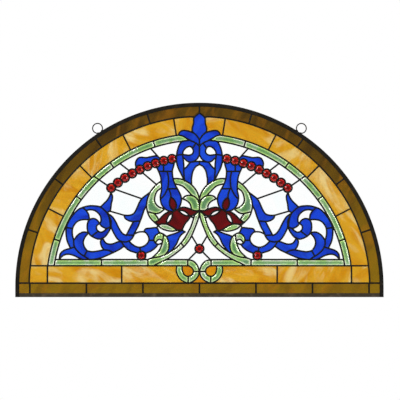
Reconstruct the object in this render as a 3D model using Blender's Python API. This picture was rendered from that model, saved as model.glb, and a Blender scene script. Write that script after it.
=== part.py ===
"""Half-round stained-glass window panel: a metal channel frame, a soldered lead net,
coloured glass between its lines, faceted jewels and two wire loops to hang it by.

The drawing is a glazier's cartoon of one half, mirrored for the other. Lengths are metres,
+Z is up, the front faces -Y, and the origin lies midway between the crowns of the two loops.
"""
import math

import bmesh
import bpy
from mathutils import Matrix, Vector, geometry

# Panel outline and frame
PANEL_WIDTH = 0.914
STRAIGHT_SIDE = 0.0254
FRAME_FACE = 0.0097
FRAME_DEPTH = 0.0085
CHANNEL_WALL = 0.0018
CHANNEL_FLOOR = 0.0050
FIT_GAP = 0.0003
ARCH_STEPS = 36

# Bands of border glass, measured between lead centre lines, from the frame inwards
BROWN_BAND = 0.0245
AMBER_BAND = 0.0427
BEVEL_BAND = 0.0158
BROWN_SILL_BAND = 0.0250
AMBER_SILL_BAND = 0.0431
BEVEL_SILL_BAND = 0.0152

# Glass, lead and jewels
GLASS_THICKNESS = 0.0030
LEAD_WIDTH = 0.0040
LEAD_DEPTH = 0.0062
CURVE_TOLERANCE = 0.0020
JEWEL_DIAMETER = 0.0178
JEWEL_CROWN = 0.0030
JEWEL_SIDES = 8
SWAG_JEWELS = 9
SWAG_RADIUS = 0.335

# Hanging loops
LOOP_WIRE = 0.0028
LOOP_RADIUS = 0.0122
LOOP_OFFSET = 0.253
LOOP_LIFT = 0.0108

# Places worked out from the sizes above; heights are from the sill's underside
ARCH_RADIUS = PANEL_WIDTH / 2
SIGHT_RADIUS = ARCH_RADIUS - FRAME_FACE
BROWN_RADIUS = SIGHT_RADIUS - BROWN_BAND
AMBER_RADIUS = BROWN_RADIUS - AMBER_BAND
LEAD_RADIUS = SIGHT_RADIUS - FIT_GAP * 2
FIELD_RADIUS = AMBER_RADIUS - BEVEL_BAND
BROWN_LEVEL = FRAME_FACE + BROWN_SILL_BAND
AMBER_LEVEL = BROWN_LEVEL + AMBER_SILL_BAND
FIELD_LEVEL = AMBER_LEVEL + BEVEL_SILL_BAND
LOOP_REACH = ARCH_RADIUS + LOOP_LIFT
LOOP_LEVEL = STRAIGHT_SIDE + math.sqrt(LOOP_REACH ** 2 - LOOP_OFFSET ** 2)
ORIGIN_LEVEL = LOOP_LEVEL + LOOP_RADIUS - LOOP_WIRE / 2

# The cartoon's own size, in its units of one millimetre: the field it was drawn for
DRAWN_FOOT = 34.7
DRAWN_LEVEL = 93.0
DRAWN_CROWN = 389.7
DRAWN_HEAD = 448.2
DRAWN_TIP = 457.0
SCALE = (STRAIGHT_SIDE + FIELD_RADIUS - FIELD_LEVEL) / (DRAWN_CROWN - DRAWN_LEVEL)

# Curves of one half: distance from the centre line and height, smooth through the points
CURVES = {
    "scroll_spine": [(320, 121), (328, 139), (331, 158), (330, 175), (323.5, 190), (313, 205),
                     (301, 217), (288, 223), (273, 226.5), (257, 226), (246, 223.5), (237, 217),
                     (228, 207), (223, 193), (221.5, 180), (222, 169), (228, 158), (237, 148),
                     (249, 144), (262, 148), (273, 156), (278, 167), (278, 182), (273, 192),
                     (263, 195), (254, 191), (248, 183)],
    "scroll_inner": [(312, 140.5), (315.5, 155), (315, 170), (309, 182), (300, 189.5),
                     (288, 192.5), (273, 192)],
    "scroll_top_lining": [(281, 215), (271, 217), (260, 215), (251, 208.5), (245, 199),
                          (244.5, 188), (248, 183)],
    "scroll_eye_top": [(248, 183), (244, 177), (236, 172), (230, 170.5), (222, 174)],
    "scroll_eye_bottom": [(248, 183), (255, 177), (255, 168.5), (249, 162), (241, 161.5),
                          (232, 168), (230, 170.5)],
    "inner_leaf_back": [(312, 140.5), (311.5, 129), (306, 118), (295, 107), (285, 101),
                        (273, 92.5)],
    "inner_leaf_top": [(312, 140.5), (304, 152), (295, 159), (286, 161.5), (275, 159.5)],
    "inner_leaf_front": [(275, 159.5), (284, 149), (288.5, 137), (286, 125), (279, 115)],
    "bowl_top": [(279, 115), (267, 112.5), (253, 114), (237, 117.5)],
    "bowl_bottom": [(273, 92.5), (250, 96), (234, 101.5), (214, 110.5), (199, 118), (187, 126.5)],
    "tail_top": [(347.5, 95), (345.5, 107), (336, 116), (320, 121), (311, 124)],
    "tail_bottom": [(347.5, 95), (337, 104), (325, 106.5), (312, 103.5), (299, 97), (290, 94)],
    "hook_leaf_back": [(237, 117.5), (243, 126), (245.5, 137), (241, 147)],
    "hook_leaf_top": [(241, 147), (232, 134), (218, 131.5), (202, 137), (190, 138.5)],
    "hook_leaf_bottom": [(237, 117.5), (226, 116), (214, 110.5)],
    "flame_left": [(220, 260), (223.5, 249), (231.5, 237.5), (245, 225.5)],
    "flame_right": [(220, 260), (216, 251), (216.5, 242), (219, 231), (221.5, 215),
                    (230, 209.5)],
    "stem_leaf_upper": [(229.5, 208.5), (216, 199), (207, 185), (199, 169), (191, 158),
                        (182, 153)],
    "stem_leaf_lower": [(227, 206), (219.5, 190), (219, 174), (212, 158), (202, 143),
                        (191, 137.5), (180, 137.5), (170.5, 142), (164, 151), (161, 160)],
    "branch_left": [(182, 153), (173, 170), (164, 187)],
    "branch_right": [(161, 160), (153, 174), (147, 189), (142, 202), (138, 215), (132.5, 228)],
    "curl_under": [(187, 203), (184, 195.5), (176, 190), (165, 187.5), (147, 189)],
    "curl_over": [(187, 203), (174, 203), (163, 207.5), (156, 219), (149, 235), (143, 244),
                  (125, 262)],
    "oval": [(174, 137), (167, 131), (159, 126), (149, 123.5), (139, 126), (131, 131.5),
             (126, 139), (125.5, 147), (129, 155), (136, 161.5), (147, 162), (155, 160),
             (161, 156)],
    "knee_top": [(138, 163), (133, 169.5), (121, 171), (106, 172), (101, 163), (97, 158)],
    "knee_bottom": [(187, 126.5), (179, 119), (170, 114), (157, 110), (150, 106)],
    "knee_front": [(138, 106), (131, 110), (121, 114), (110, 122), (103, 130)],
    "bud": [(89, 156), (97, 159), (105, 156), (111, 150), (113, 143), (111, 136), (105, 131.5),
            (99, 131.5), (94, 135)],
    "palm_front": [(118, 98.5), (107, 107), (99, 117), (94, 129), (91, 141), (89, 156)],
    "palm_back": [(89, 156), (82, 150), (77, 139), (75.5, 126), (78.5, 114), (85, 106)],
    "palm_blue_top": [(82, 150), (73, 154), (63, 157), (53, 161), (43, 165), (36, 162)],
    "palm_blue_side": [(36, 162), (46, 154), (52, 144), (56, 134), (62, 125), (73, 113)],
    "stalk_inner": [(0, 214), (1.5, 200), (6, 185), (12, 170), (19, 153), (27, 139), (38, 126),
                    (53, 113), (68, 102), (83, 93), (98, 86), (114, 80.5)],
    "stalk_outer": [(4, 211), (12, 203), (16, 190), (21, 175), (27, 163), (36, 147),
                    (46, 134), (58, 122), (73, 112), (87, 104.5), (102, 99.5), (118, 97),
                    (128, 93)],
    "ring_outer": [(95, 288), (108, 278), (120, 264), (128, 247), (131.5, 228), (129, 212),
                   (123, 198), (113, 187), (103, 178)],
    "ring_inner": [(95, 271), (105, 263), (110, 252), (111.5, 240), (108, 231), (101, 224),
                   (93, 220.5), (86.5, 219.5), (95, 211.5), (104, 207.5), (113, 208), (121, 210),
                   (129, 212)],
    "cup_leaf": [(113, 208), (106, 200), (101, 191.5)],
    "saucer_top": [(103, 178), (96, 181), (82, 181), (68, 174.5), (55, 166)],
    "saucer_bottom": [(103, 178), (95, 171), (83, 166), (68, 163.5), (55, 166)],
    "petal_left": [(111, 186), (101, 191.5), (93, 200), (85, 207), (74, 213)],
    "slit_left": [(67, 208), (74, 202), (79, 191), (82, 183)],
    "slit_right": [(67, 208), (70, 198), (76, 189), (82, 183)],
    "flower_right": [(43, 166), (40, 174), (35, 183), (28, 191), (22, 200)],
    "upper_slit_top": [(52, 215), (44, 214), (34, 209), (24, 201)],
    "upper_slit_bottom": [(52, 215), (45, 209.5), (34, 204), (24, 201)],
    "petal_right_top": [(51, 220), (41, 223), (31, 221.5), (21, 218), (11, 214.5), (0, 215)],
    "petal_right_bottom": [(24, 201), (16, 203), (9, 208), (0, 214)],
    "vase_left": [(108, 330), (105, 320), (100, 309), (96, 297), (94.5, 282), (94, 265), (97, 250),
                  (95.5, 235), (90, 224), (80, 215.5), (65, 212)],
    "vase_right": [(66, 340), (63, 331), (67, 316), (67, 304), (65, 292), (60, 278), (52, 264),
                   (46, 251), (45, 240), (47, 230), (51, 220)],
    "vase_middle": [(80, 311), (77, 297), (77, 282), (79, 270), (87, 254), (96, 243)],
    "flame_back": [(76, 269), (72, 258), (71, 249), (74, 239), (74, 229), (70, 220),
                   (64, 215.5)],
    "flame_front": [(71, 249), (62, 241), (57.5, 231), (58, 222), (64, 215.5)],
    "wing_outer": [(65, 294), (53, 294), (41, 291.5), (30, 286), (20, 279), (11, 269),
                   (4, 257), (0, 243)],
    "wing_inner": [(61, 281), (51, 279), (41, 275), (31, 266), (23, 257), (18, 251)],
    "comma_top": [(42, 244), (36, 250), (27, 252.5), (17, 251.5), (9, 247), (3, 239),
                  (0, 228)],
    "comma_bottom": [(42, 244), (31, 239), (23, 231), (19.5, 218)],
    "crown_side": [(0, 457), (8, 451), (14, 444), (14.5, 432), (18, 419), (16.5, 410),
                   (8, 402), (0, 391)],
    "leaf_top": [(52, 402), (49, 409), (42, 413.5), (32, 413), (22, 410.5), (15, 407)],
    "leaf_bottom": [(52, 402), (42, 400), (32, 394), (21, 388), (8, 382), (0, 374)],
    "loop_outer": [(24, 389), (34, 388), (44, 386), (51, 375), (55, 362), (57, 348),
                   (56.5, 334), (52, 319), (46, 307), (37, 288.5)],
    "loop_side": [(37, 288.5), (39, 312), (39, 330), (42, 354)],
    "loop_eye": [(42, 354), (40, 363), (34, 370), (26, 374), (19, 371.5), (15, 363),
                 (18, 355), (26, 352), (34, 353), (42, 354)],
    "loop_belly": [(0, 353), (6, 343), (14, 337), (23, 335), (31, 338), (36, 343),
                   (40.5, 347)],
    "drop_side": [(0, 329), (9, 324), (16, 313), (19, 300), (20, 290), (19, 279)],
    "drop_back": [(39, 317), (31, 324), (23, 335)],
    "hook_top": [(150, 318), (157, 323), (158.5, 334), (153, 344), (145, 347), (132, 346),
                 (120, 348.5), (106, 350), (94, 341)],
    "knot_outer": [(56, 78), (57.5, 66), (53, 52), (43, 41), (28, 34)],
    "knot_middle": [(28, 34), (13, 41), (4, 51), (0, 63)],
    "knot_top": [(0, 63), (5, 78), (15, 89), (29, 93)],
    "knot_inner": [(43, 78), (42.5, 66), (38, 56), (29, 51.5), (19, 55), (15, 64),
                   (18, 72), (26, 78)],
}
# Straight leads of one half, in the same units
LEADS = {
    "scroll_cut_top": [(290, 222.5), (281, 215), (275, 205), (273, 192)],
    "scroll_cut_left": [(332, 173), (315, 170)],
    "spiral_cut": [(252, 163), (267, 152)],
    "bowl_cut": [(279, 115), (286, 102)],
    "hook_leaf_cut": [(194, 139), (187, 126.5)],
    "branch_cut": [(180, 153.5), (164, 153.5)],
    "knee_cut": [(126, 141), (113, 141)],
    "knee_jewel_cut": [(148, 124), (145, 108)],
    "jewel_foot_left": [(151, 104), (154, 101), (152, 93)],
    "jewel_foot_right": [(137, 104), (134, 101), (136, 93)],
    "bud_cut": [(106, 172), (103, 178)],
    "stalk_cut": [(46, 134), (39, 126)],
    "stalk_foot": [(128, 93), (128, 78)],
    "field_lead_left": [(262, 300), (220, 271)],
    "field_lead_mid": [(220, 271), (143, 244)],
    "field_lead_curl": [(222, 213), (187, 203)],
    "field_lead_ring": [(150, 316), (108, 281)],
    "field_lead_swag": [(197, 331), (166, 307)],
    "field_lead_crown": [(121, 369), (102, 347)],
    "flower_base": [(111, 186), (101, 180)],
    "flower_side": [(82, 183), (80, 181)],
    "flower_foot": [(55, 166), (43, 166), (36, 162)],
    "flower_join": [(65, 212), (51, 220)],
    "flower_tip": [(24, 201), (22, 200), (17, 197)],
    "neck_cut": [(101.5, 312), (67, 312)],
    "neck_post": [(88, 336), (89, 312)],
    "bulb_cut": [(79, 269), (55, 269)],
    "comma_lead": [(45, 245), (42, 244)],
    "loop_cut_low": [(57, 352), (42, 354)],
    "loop_cut_high": [(9, 382), (17, 370)],
    "centre_tie": [(23, 335), (0, 337)],
    "drop_lead": [(19, 152), (0, 120)],
    "foot_lead": [(0, 120), (27, 94)],
    "knot_cut_side": [(15, 64), (0, 63)],
    "knot_cut_foot": [(28, 51.5), (28, 34)],
    "knot_cut_top": [(29, 93), (29, 78)],
}
# Leads along the centre line, each a pair of heights
CENTRE_LEADS = [(391, 353), (337, 329), (243, 214)]

# Border cuts: angles from the sill line about the arch centre, and distances along the sill
BROWN_CUTS = [18.5, 36.8, 55.0, 73.2]
AMBER_CUTS = [27.4, 45.4, 63.3, 81.3]
BEVEL_CUTS = [18.2, 36.4, 54.3, 72.4]
BROWN_SILL_CUTS = [140.3, 280.6, 421.0]
AMBER_SILL_CUTS = [193.0, 377.4]
BEVEL_SILL_CUTS = [243.0]

# Where the border leads stop at the crown and at the knot
BROWN_STOP = 14.5
AMBER_STOP = 52.0
FIELD_STOP = 45.0
AMBER_SILL_STOP = 26.0
FIELD_SILL_STOPS = [(361.0, 128.0), (83.0, 29.0)]

# A mark inside each coloured piece; unmarked glass takes its band's colour
MARKS = {
    "cobalt_glass": [(301, 205), (323, 160), (237, 200), (268, 175), (249, 153), (296, 135),
                     (321, 113), (256, 104), (217, 122), (224, 228), (197, 150), (159, 178),
                     (162, 197), (118, 160), (121, 125), (167, 122), (65, 140), (88, 290),
                     (70, 290), (85, 235), (53, 245), (97, 319), (76, 322), (144, 338),
                     (0, 430), (36, 405), (50, 366), (8, 357), (48, 330), (26, 310)],
    "ruby_glass": [(95, 190), (48, 185), (22, 212), (66, 230)],
    "green_bevel_glass": [(121, 240), (113, 197), (83, 173), (38, 283), (13, 235), (22, 165),
                          (73, 107), (85, 130), (101, 145), (50, 60), (18, 47), (11, 80)],
    "orange_glass": [(29, 64), (0, 42)],
}
# Single jewels: on the centre line and under the knees
SINGLE_JEWELS = [(0, 120), (144, 103)]
SWAG_ENDS = [(219, 271), (68, 343)]
SWAG_TIE = (57, 345)

LOOKS = {
    "frame_metal": ((0.018, 0.016, 0.013, 1), 0.45, 0.9),
    "solder": ((0.012, 0.012, 0.011, 1), 0.4, 0.8),
    "brown_glass": ((0.22, 0.11, 0.01, 1), 0.15, 0.0),
    "amber_glass": ((0.75, 0.38, 0.05, 1), 0.2, 0.0),
    "green_bevel_glass": ((0.23, 0.42, 0.22, 1), 0.08, 0.0),
    "clear_glass": ((0.85, 0.92, 0.92, 1), 0.08, 0.0),
    "cobalt_glass": ((0.01, 0.05, 0.55, 1), 0.15, 0.0),
    "ruby_glass": ((0.13, 0.002, 0.004, 1), 0.15, 0.0),
    "orange_glass": ((0.65, 0.26, 0.01, 1), 0.2, 0.0),
    "jewel_glass": ((0.55, 0.01, 0.01, 1), 0.05, 0.0),
}
GLASS_NODES = 33
DRAWN_JOIN = 4.0
JOIN_OVERSHOOT = 0.0001
JOIN_ROUNDS = 3
LEAD_SLACK = 0.0007
THINNEST_GLASS = 0.0010
RING_SIDES = 8
MERGE = 1e-5


def clear_scene():
    for item in list(bpy.data.objects):
        bpy.data.objects.remove(item, do_unlink=True)


def material(name):
    found = bpy.data.materials.get(name)
    if found:
        return found
    colour, roughness, metallic = LOOKS[name]
    made = bpy.data.materials.new(name)
    made.use_nodes = True
    shader = made.node_tree.nodes["Principled BSDF"]
    shader.inputs["Base Color"].default_value = colour
    shader.inputs["Roughness"].default_value = roughness
    shader.inputs["Metallic"].default_value = metallic
    return made


def add_object(name, bm, look):
    bmesh.ops.recalc_face_normals(bm, faces=bm.faces)
    mesh = bpy.data.meshes.new(name)
    bm.to_mesh(mesh)
    bm.free()
    mesh.materials.append(material(look))
    made = bpy.data.objects.new(name, mesh)
    bpy.context.collection.objects.link(made)
    return made


def drawn(point):
    """A cartoon point as a place on the panel, in metres."""
    x, z = point
    if z < DRAWN_LEVEL:
        rise = (FIELD_LEVEL - BROWN_LEVEL) / (DRAWN_LEVEL - DRAWN_FOOT)
        return Vector((x * SCALE, FIELD_LEVEL + (z - DRAWN_LEVEL) * rise))
    if z > DRAWN_CROWN:
        rise = (BROWN_RADIUS - FIELD_RADIUS) / (DRAWN_HEAD - DRAWN_CROWN)
        return Vector((x * SCALE, STRAIGHT_SIDE + FIELD_RADIUS + (z - DRAWN_CROWN) * rise))
    return Vector((x * SCALE, FIELD_LEVEL + (z - DRAWN_LEVEL) * SCALE))


def polar(radius, degrees):
    angle = math.radians(degrees)
    return Vector((radius * math.cos(angle), STRAIGHT_SIDE + radius * math.sin(angle)))


def smooth(points):
    """A Catmull-Rom curve through the points, thinned to the tolerance."""
    ends = [points[0] * 2 - points[1]] + points + [points[-1] * 2 - points[-2]]
    dense = []
    for a, b, c, d in zip(ends, ends[1:], ends[2:], ends[3:]):
        for i in range(8):
            t = i / 8
            dense.append(0.5 * (2 * b + (c - a) * t + (2 * a - 5 * b + 4 * c - d) * t * t
                                + (3 * b - a - 3 * c + d) * t ** 3))
    return thin(dense + [points[-1]])


def thin(points, slack=CURVE_TOLERANCE):
    """Drops the points that lie within the slack of the line between their neighbours."""
    first, last = points[0], points[-1]
    worst, where = 0.0, 0
    for i in range(1, len(points) - 1):
        if (last - first).length < MERGE:
            away = (points[i] - first).length
        else:
            foot, share = geometry.intersect_point_line(points[i], first, last)
            away = (points[i] - Vector(foot[:2])).length
        if away > worst:
            worst, where = away, i
    if worst <= slack:
        return [first, last]
    return thin(points[:where + 1], slack)[:-1] + thin(points[where:], slack)


def arc(radius, start, stop):
    """A lead round the arch, from one distance off the centre line to another."""
    high = math.degrees(math.acos(stop / radius))
    low = math.degrees(math.asin((start - STRAIGHT_SIDE) / radius))
    steps = max(2, round((high - low) / 180 * ARCH_STEPS))
    return [polar(radius, low + (high - low) * i / steps) for i in range(steps + 1)]


def border_lines():
    """The leads of the three border bands, for one half."""
    lines = [arc(BROWN_RADIUS, BROWN_LEVEL, drawn((BROWN_STOP, 0)).x),
             arc(AMBER_RADIUS, AMBER_LEVEL, drawn((AMBER_STOP, 0)).x),
             arc(FIELD_RADIUS, AMBER_LEVEL, drawn((FIELD_STOP, 0)).x)]
    for angles, inner, outer in ((BROWN_CUTS, BROWN_RADIUS, LEAD_RADIUS),
                                 (AMBER_CUTS, AMBER_RADIUS, BROWN_RADIUS),
                                 (BEVEL_CUTS, FIELD_RADIUS, AMBER_RADIUS)):
        lines += [[polar(inner, angle), polar(outer, angle)] for angle in angles]
    lines.append([Vector((0, BROWN_LEVEL)),
                  Vector((level_reach(LEAD_RADIUS, BROWN_LEVEL + LEAD_WIDTH), BROWN_LEVEL))])
    lines.append([Vector((drawn((AMBER_SILL_STOP, 0)).x, AMBER_LEVEL)),
                  Vector((level_reach(BROWN_RADIUS, AMBER_LEVEL), AMBER_LEVEL))])
    for far, near in FIELD_SILL_STOPS:
        lines.append([Vector((drawn((near, 0)).x, FIELD_LEVEL)),
                      Vector((min(drawn((far, 0)).x, level_reach(FIELD_RADIUS, FIELD_LEVEL)),
                              FIELD_LEVEL))])
    for places, low, high in ((BROWN_SILL_CUTS, FRAME_FACE + FIT_GAP * 2, BROWN_LEVEL),
                              (AMBER_SILL_CUTS, BROWN_LEVEL, AMBER_LEVEL),
                              (BEVEL_SILL_CUTS, AMBER_LEVEL, FIELD_LEVEL)):
        lines += [[Vector((drawn((place, 0)).x, low)), Vector((drawn((place, 0)).x, high))]
                  for place in places]
    return lines


def level_reach(radius, level):
    """How far from the centre line a level meets an arc."""
    return math.sqrt(radius ** 2 - (level - STRAIGHT_SIDE) ** 2)


def nearest(point, lines):
    """The place on the lines that is nearest to a point."""
    best, place = DRAWN_JOIN * SCALE, None
    for line in lines:
        for a, b in zip(line, line[1:]):
            foot, share = geometry.intersect_point_line(point, a, b)
            share = min(1, max(0, share))
            spot = a + (b - a) * share
            if (spot - point).length < best:
                best, place = (spot - point).length, spot
    return place


def joined(lines):
    """The lines of one half with their ends carried across the line that each one meets."""
    lines = [list(line) for line in lines]
    axis = [Vector((0, 0)), Vector((0, STRAIGHT_SIDE + LEAD_RADIUS))]
    for _ in range(JOIN_ROUNDS):
        for i, line in enumerate(lines):
            others = lines[:i] + lines[i + 1:] + [axis]
            for end, inner in ((0, 1), (-1, -2)):
                place = nearest(line[end], others)
                if place is not None:
                    line[end] = place + (place - line[inner]).normalized() * JOIN_OVERSHOOT
    return lines


def swag_places():
    """Centres of the jewels in the bowed swag of one side."""
    first, last = (drawn(point) for point in SWAG_ENDS)
    middle = (first + last) / 2
    across = Vector((first.y - last.y, last.x - first.x)).normalized()
    if across.y > 0:
        across = -across
    bow = SWAG_RADIUS * SCALE * 1000
    half = math.asin((last - first).length / 2 / bow)
    centre = middle + across * bow * math.cos(half)
    start = first - centre
    turn = start.angle_signed(last - centre)
    places = []
    for i in range(SWAG_JEWELS):
        spot = start.copy()
        spot.rotate(Matrix.Rotation(-turn * i / (SWAG_JEWELS - 1), 2))
        places.append(centre + spot)
    return places


def mirrored(line):
    return [Vector((-point.x, point.y)) for point in line]


def cartoon():
    """Every lead centre line of the panel."""
    half = border_lines()
    half += [smooth([drawn(point) for point in points]) for points in CURVES.values()]
    half += [[drawn(point) for point in points] for points in LEADS.values()]
    half.append(swag_places() + [drawn(SWAG_TIE)])
    half = joined(half)
    centre = [[drawn((0, low)), drawn((0, high))] for low, high in CENTRE_LEADS]
    centre += [[drawn((0, DRAWN_TIP)), Vector((0, STRAIGHT_SIDE + LEAD_RADIUS))],
               [Vector((0, FRAME_FACE + FIT_GAP * 2)), Vector((0, BROWN_LEVEL))]]
    return half + [mirrored(line) for line in half] + centre


def circle(centre, radius, sides, phase=0.5):
    return [centre + Vector((radius * math.cos(math.tau * (i + phase) / sides),
                             radius * math.sin(math.tau * (i + phase) / sides)))
            for i in range(sides)]


def all_jewels():
    side = swag_places() + [drawn(point) for point in SINGLE_JEWELS if point[0]]
    centre = [drawn(point) for point in SINGLE_JEWELS if not point[0]]
    return side, mirrored(side), centre


def outline(inset):
    """The panel's edge, a distance in from the outside of the frame."""
    radius = ARCH_RADIUS - inset
    steps = ARCH_STEPS
    points = [polar(radius, 180 * i / steps) for i in range(steps + 1)]
    return [Vector((radius, inset))] + points + [Vector((-radius, inset))]


class Drawing:
    """Points and edges gathered for one flat triangulation."""

    def __init__(self):
        self.points, self.edges, self.faces = [], [], []

    def line(self, points, closed=False):
        first = len(self.points)
        self.points += points
        count = len(points)
        self.edges += [(first + i, first + i + 1) for i in range(count - 1)]
        if closed:
            self.edges.append((first + count - 1, first))

    def patch(self, points):
        first = len(self.points)
        self.points += points
        self.faces.append(list(range(first, first + len(points))))

    def triangles(self, kind):
        """Corners, triangles, the edges that were drawn and each triangle's patches."""
        corners, edges, faces, _, edge_ids, face_ids = geometry.delaunay_2d_cdt(
            self.points, self.edges, self.faces, kind, MERGE, True)
        fixed = {frozenset(edge) for edge, ids in zip(edges, edge_ids) if ids}
        return [Vector(corner) for corner in corners], [list(face) for face in faces], fixed, face_ids


def inside(point, loops):
    """Whether a point lies inside an odd number of loops."""
    odd = False
    for loop in loops:
        for a, b in zip(loop, loop[1:] + loop[:1]):
            if (a.y > point.y) != (b.y > point.y):
                if point.x < a.x + (point.y - a.y) / (b.y - a.y) * (b.x - a.x):
                    odd = not odd
    return odd


def middle_of(corners, face):
    return sum((corners[i] for i in face), Vector((0, 0))) / len(face)


def split_touches(corners, faces):
    """The patch with its own corner for each part that touches another at one point only."""
    corners = list(corners)
    faces = [list(face) for face in faces]
    items = [(n, i) for n, face in enumerate(faces) for i in face]
    links = [((a, i), (b, i)) for a, b, edge in neighbours(faces) for i in edge]
    seen = set()
    for fan in sorted(groups(items, links)):
        corner = fan[0][1]
        if corner in seen:
            middle = sum((middle_of(corners, faces[n]) for n, _ in fan), Vector((0, 0))) / len(fan)
            corners.append(corners[corner] + (middle - corners[corner]).normalized() * MERGE * 2)
            for n, _ in fan:
                faces[n][faces[n].index(corner)] = len(corners) - 1
        seen.add(corner)
    return corners, faces


def prism(corners, faces, front, back):
    """A flat patch of triangles given a thickness."""
    corners, faces = split_touches(corners, faces)
    used = sorted({i for face in faces for i in face})
    bm = bmesh.new()
    near = {i: bm.verts.new((corners[i].x, front, corners[i].y - ORIGIN_LEVEL)) for i in used}
    far = {i: bm.verts.new((corners[i].x, back, corners[i].y - ORIGIN_LEVEL)) for i in used}
    sides = {}
    for face in faces:
        bm.faces.new([near[i] for i in face])
        bm.faces.new([far[i] for i in reversed(face)])
        for a, b in zip(face, face[1:] + face[:1]):
            if (b, a) in sides:
                del sides[(b, a)]
            else:
                sides[(a, b)] = True
    for a, b in sides:
        bm.faces.new([near[b], near[a], far[a], far[b]])
    return bm


def groups(items, links):
    """Sorts linked items into connected groups."""
    leader = {item: item for item in items}

    def top(item):
        while leader[item] != item:
            leader[item] = leader[leader[item]]
            item = leader[item]
        return item

    for a, b in links:
        leader[top(a)] = top(b)
    found = {}
    for item in items:
        found.setdefault(top(item), []).append(item)
    return list(found.values())


def neighbours(faces):
    """Pairs of triangles that share an edge, with that edge."""
    seen, pairs = {}, []
    for i, face in enumerate(faces):
        for a, b in zip(face, face[1:] + face[:1]):
            key = frozenset((a, b))
            if key in seen:
                pairs.append((seen[key], i, key))
            seen[key] = i
    return pairs


def band_of(point):
    """The colour of unmarked glass at a point."""
    reach = (point - Vector((0, STRAIGHT_SIDE))).length if point.y > STRAIGHT_SIDE else abs(point.x)
    if reach > BROWN_RADIUS or point.y < BROWN_LEVEL:
        return "brown_glass"
    if reach > AMBER_RADIUS or point.y < AMBER_LEVEL:
        return "amber_glass"
    if reach > FIELD_RADIUS or point.y < FIELD_LEVEL:
        return "green_bevel_glass"
    return "clear_glass"


def area(corners, face):
    a, b, c = (corners[i] for i in face)
    return abs((b - a).cross(c - a)) / 2


def loops_of(corners, faces):
    """Closed loops round a patch of triangles, with the patch on their left."""
    steps = {(a, b) for face in faces for a, b in zip(face, face[1:] + face[:1])}
    rim = sorted((a, b) for a, b in steps if (b, a) not in steps)
    onward = {}
    for a, b in rim:
        onward.setdefault(a, []).append(b)
    loops, used = [], set()
    for first in rim:
        if first in used:
            continue
        loop, edge = [], first
        while edge not in used:
            used.add(edge)
            loop.append(edge[0])
            along = corners[edge[1]] - corners[edge[0]]
            turns = [(leftness(along, corners[c] - corners[edge[1]]), c) for c in onward[edge[1]]]
            edge = (edge[1], max(turns)[1])
        loops.append(loop)
    return loops


def leftness(along, onward):
    """How far to the left a path turns, in radians."""
    return math.atan2(along.x * onward.y - along.y * onward.x, along.dot(onward))


def glass_bodies():
    """Patches of one colour between the leads: colour, area, corners and triangles."""
    sheet = Drawing()
    rim = outline(CHANNEL_FLOOR + FIT_GAP)
    sheet.line(rim, closed=True)
    for line in cartoon():
        sheet.line(line)
    for group in all_jewels():
        for place in group:
            sheet.line(circle(place, jewel_hole(), RING_SIDES), closed=True)
    corners, faces, fixed, _ = sheet.triangles(0)
    pairs = neighbours(faces)
    cells = groups(range(len(faces)), [(a, b) for a, b, edge in pairs if edge not in fixed])
    marks = [(mark_place, name) for name, places in MARKS.items() for place in places
             for mark_place in (drawn(place), mirrored([drawn(place)])[0])]
    jewels = [place for group in all_jewels() for place in group]
    colours = {}
    for cell in cells:
        centre = middle_of(corners, faces[max(cell, key=lambda i: area(corners, faces[i]))])
        colour = band_of(centre)
        if not inside(centre, [rim]):
            colour = None
        elif any((centre - place).length < jewel_hole() * 0.98 for place in jewels):
            colour = None
        for mark, name in marks:
            if colour and any(inside(mark, [[corners[i] for i in faces[f]]]) for f in cell):
                colour = name
        for i in cell:
            colours[i] = colour
    fill_slivers(corners, faces, cells, pairs, colours)
    return parted(corners, faces, pairs, colours, rim)


def parted(corners, faces, pairs, colours, rim):
    """The sheet cut along every line where the colour changes, a fit gap wide."""
    sheet = Drawing()
    sheet.line(rim, closed=True)
    for a, b, edge in pairs:
        if colours[a] != colours[b]:
            p, q = (corners[i] for i in edge)
            reach = (q - p).normalized() * FIT_GAP / 2
            across = Vector((-reach.y, reach.x))
            p, q = p - reach, q + reach
            sheet.patch([p + across, p - across, q - across, q + across])
    spots, tiles, _, patches = sheet.triangles(1)
    tiles = [tile for tile, ids in zip(tiles, patches) if not ids]
    links = [(a, b) for a, b, _ in neighbours(tiles)]
    found = []
    for piece in groups(range(len(tiles)), links):
        own = [tiles[i] for i in piece]
        centre = middle_of(spots, max(own, key=lambda tile: area(spots, tile)))
        home = next(i for i, face in enumerate(faces) if inside(centre, [[corners[k] for k in face]]))
        if colours[home]:
            size = sum(area(spots, tile) for tile in own)
            found.append((colours[home], size, *retiled(spots, own, MERGE * 5)))
    return sorted(found, key=lambda entry: -round(entry[1], 7))


def fill_slivers(corners, faces, cells, pairs, colours):
    """Gives each cell that is too thin to be glass the colour across its longest edge."""
    home = {i: n for n, cell in enumerate(cells) for i in cell}
    shared = [{} for _ in cells]
    for a, b, edge in pairs:
        p, q = edge
        length = (corners[p] - corners[q]).length
        for one, other in ((a, b), (b, a)):
            if home[one] != home[other]:
                borders = shared[home[one]]
                borders[home[other]] = borders.get(home[other], 0) + length
    for n, cell in enumerate(cells):
        size = sum(area(corners, faces[i]) for i in cell)
        border = sum(shared[n].values())
        if colours[cell[0]] and 2 * size < THINNEST_GLASS * border:
            nearest_cell = max(shared[n], key=lambda m: (colours[cells[m][0]] is not None, shared[n][m]))
            for i in cell:
                colours[i] = colours[cells[nearest_cell][0]]


def jewel_hole():
    return (JEWEL_DIAMETER / 2 + FIT_GAP) / math.cos(math.pi / RING_SIDES)


def build_glass():
    counts = {}
    for colour, _, corners, faces in glass_bodies()[:GLASS_NODES]:
        counts[colour] = counts.get(colour, 0) + 1
        bm = prism(corners, faces, -GLASS_THICKNESS / 2, GLASS_THICKNESS / 2)
        add_object(f"{colour}_{counts[colour]:02d}", bm, colour)


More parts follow.
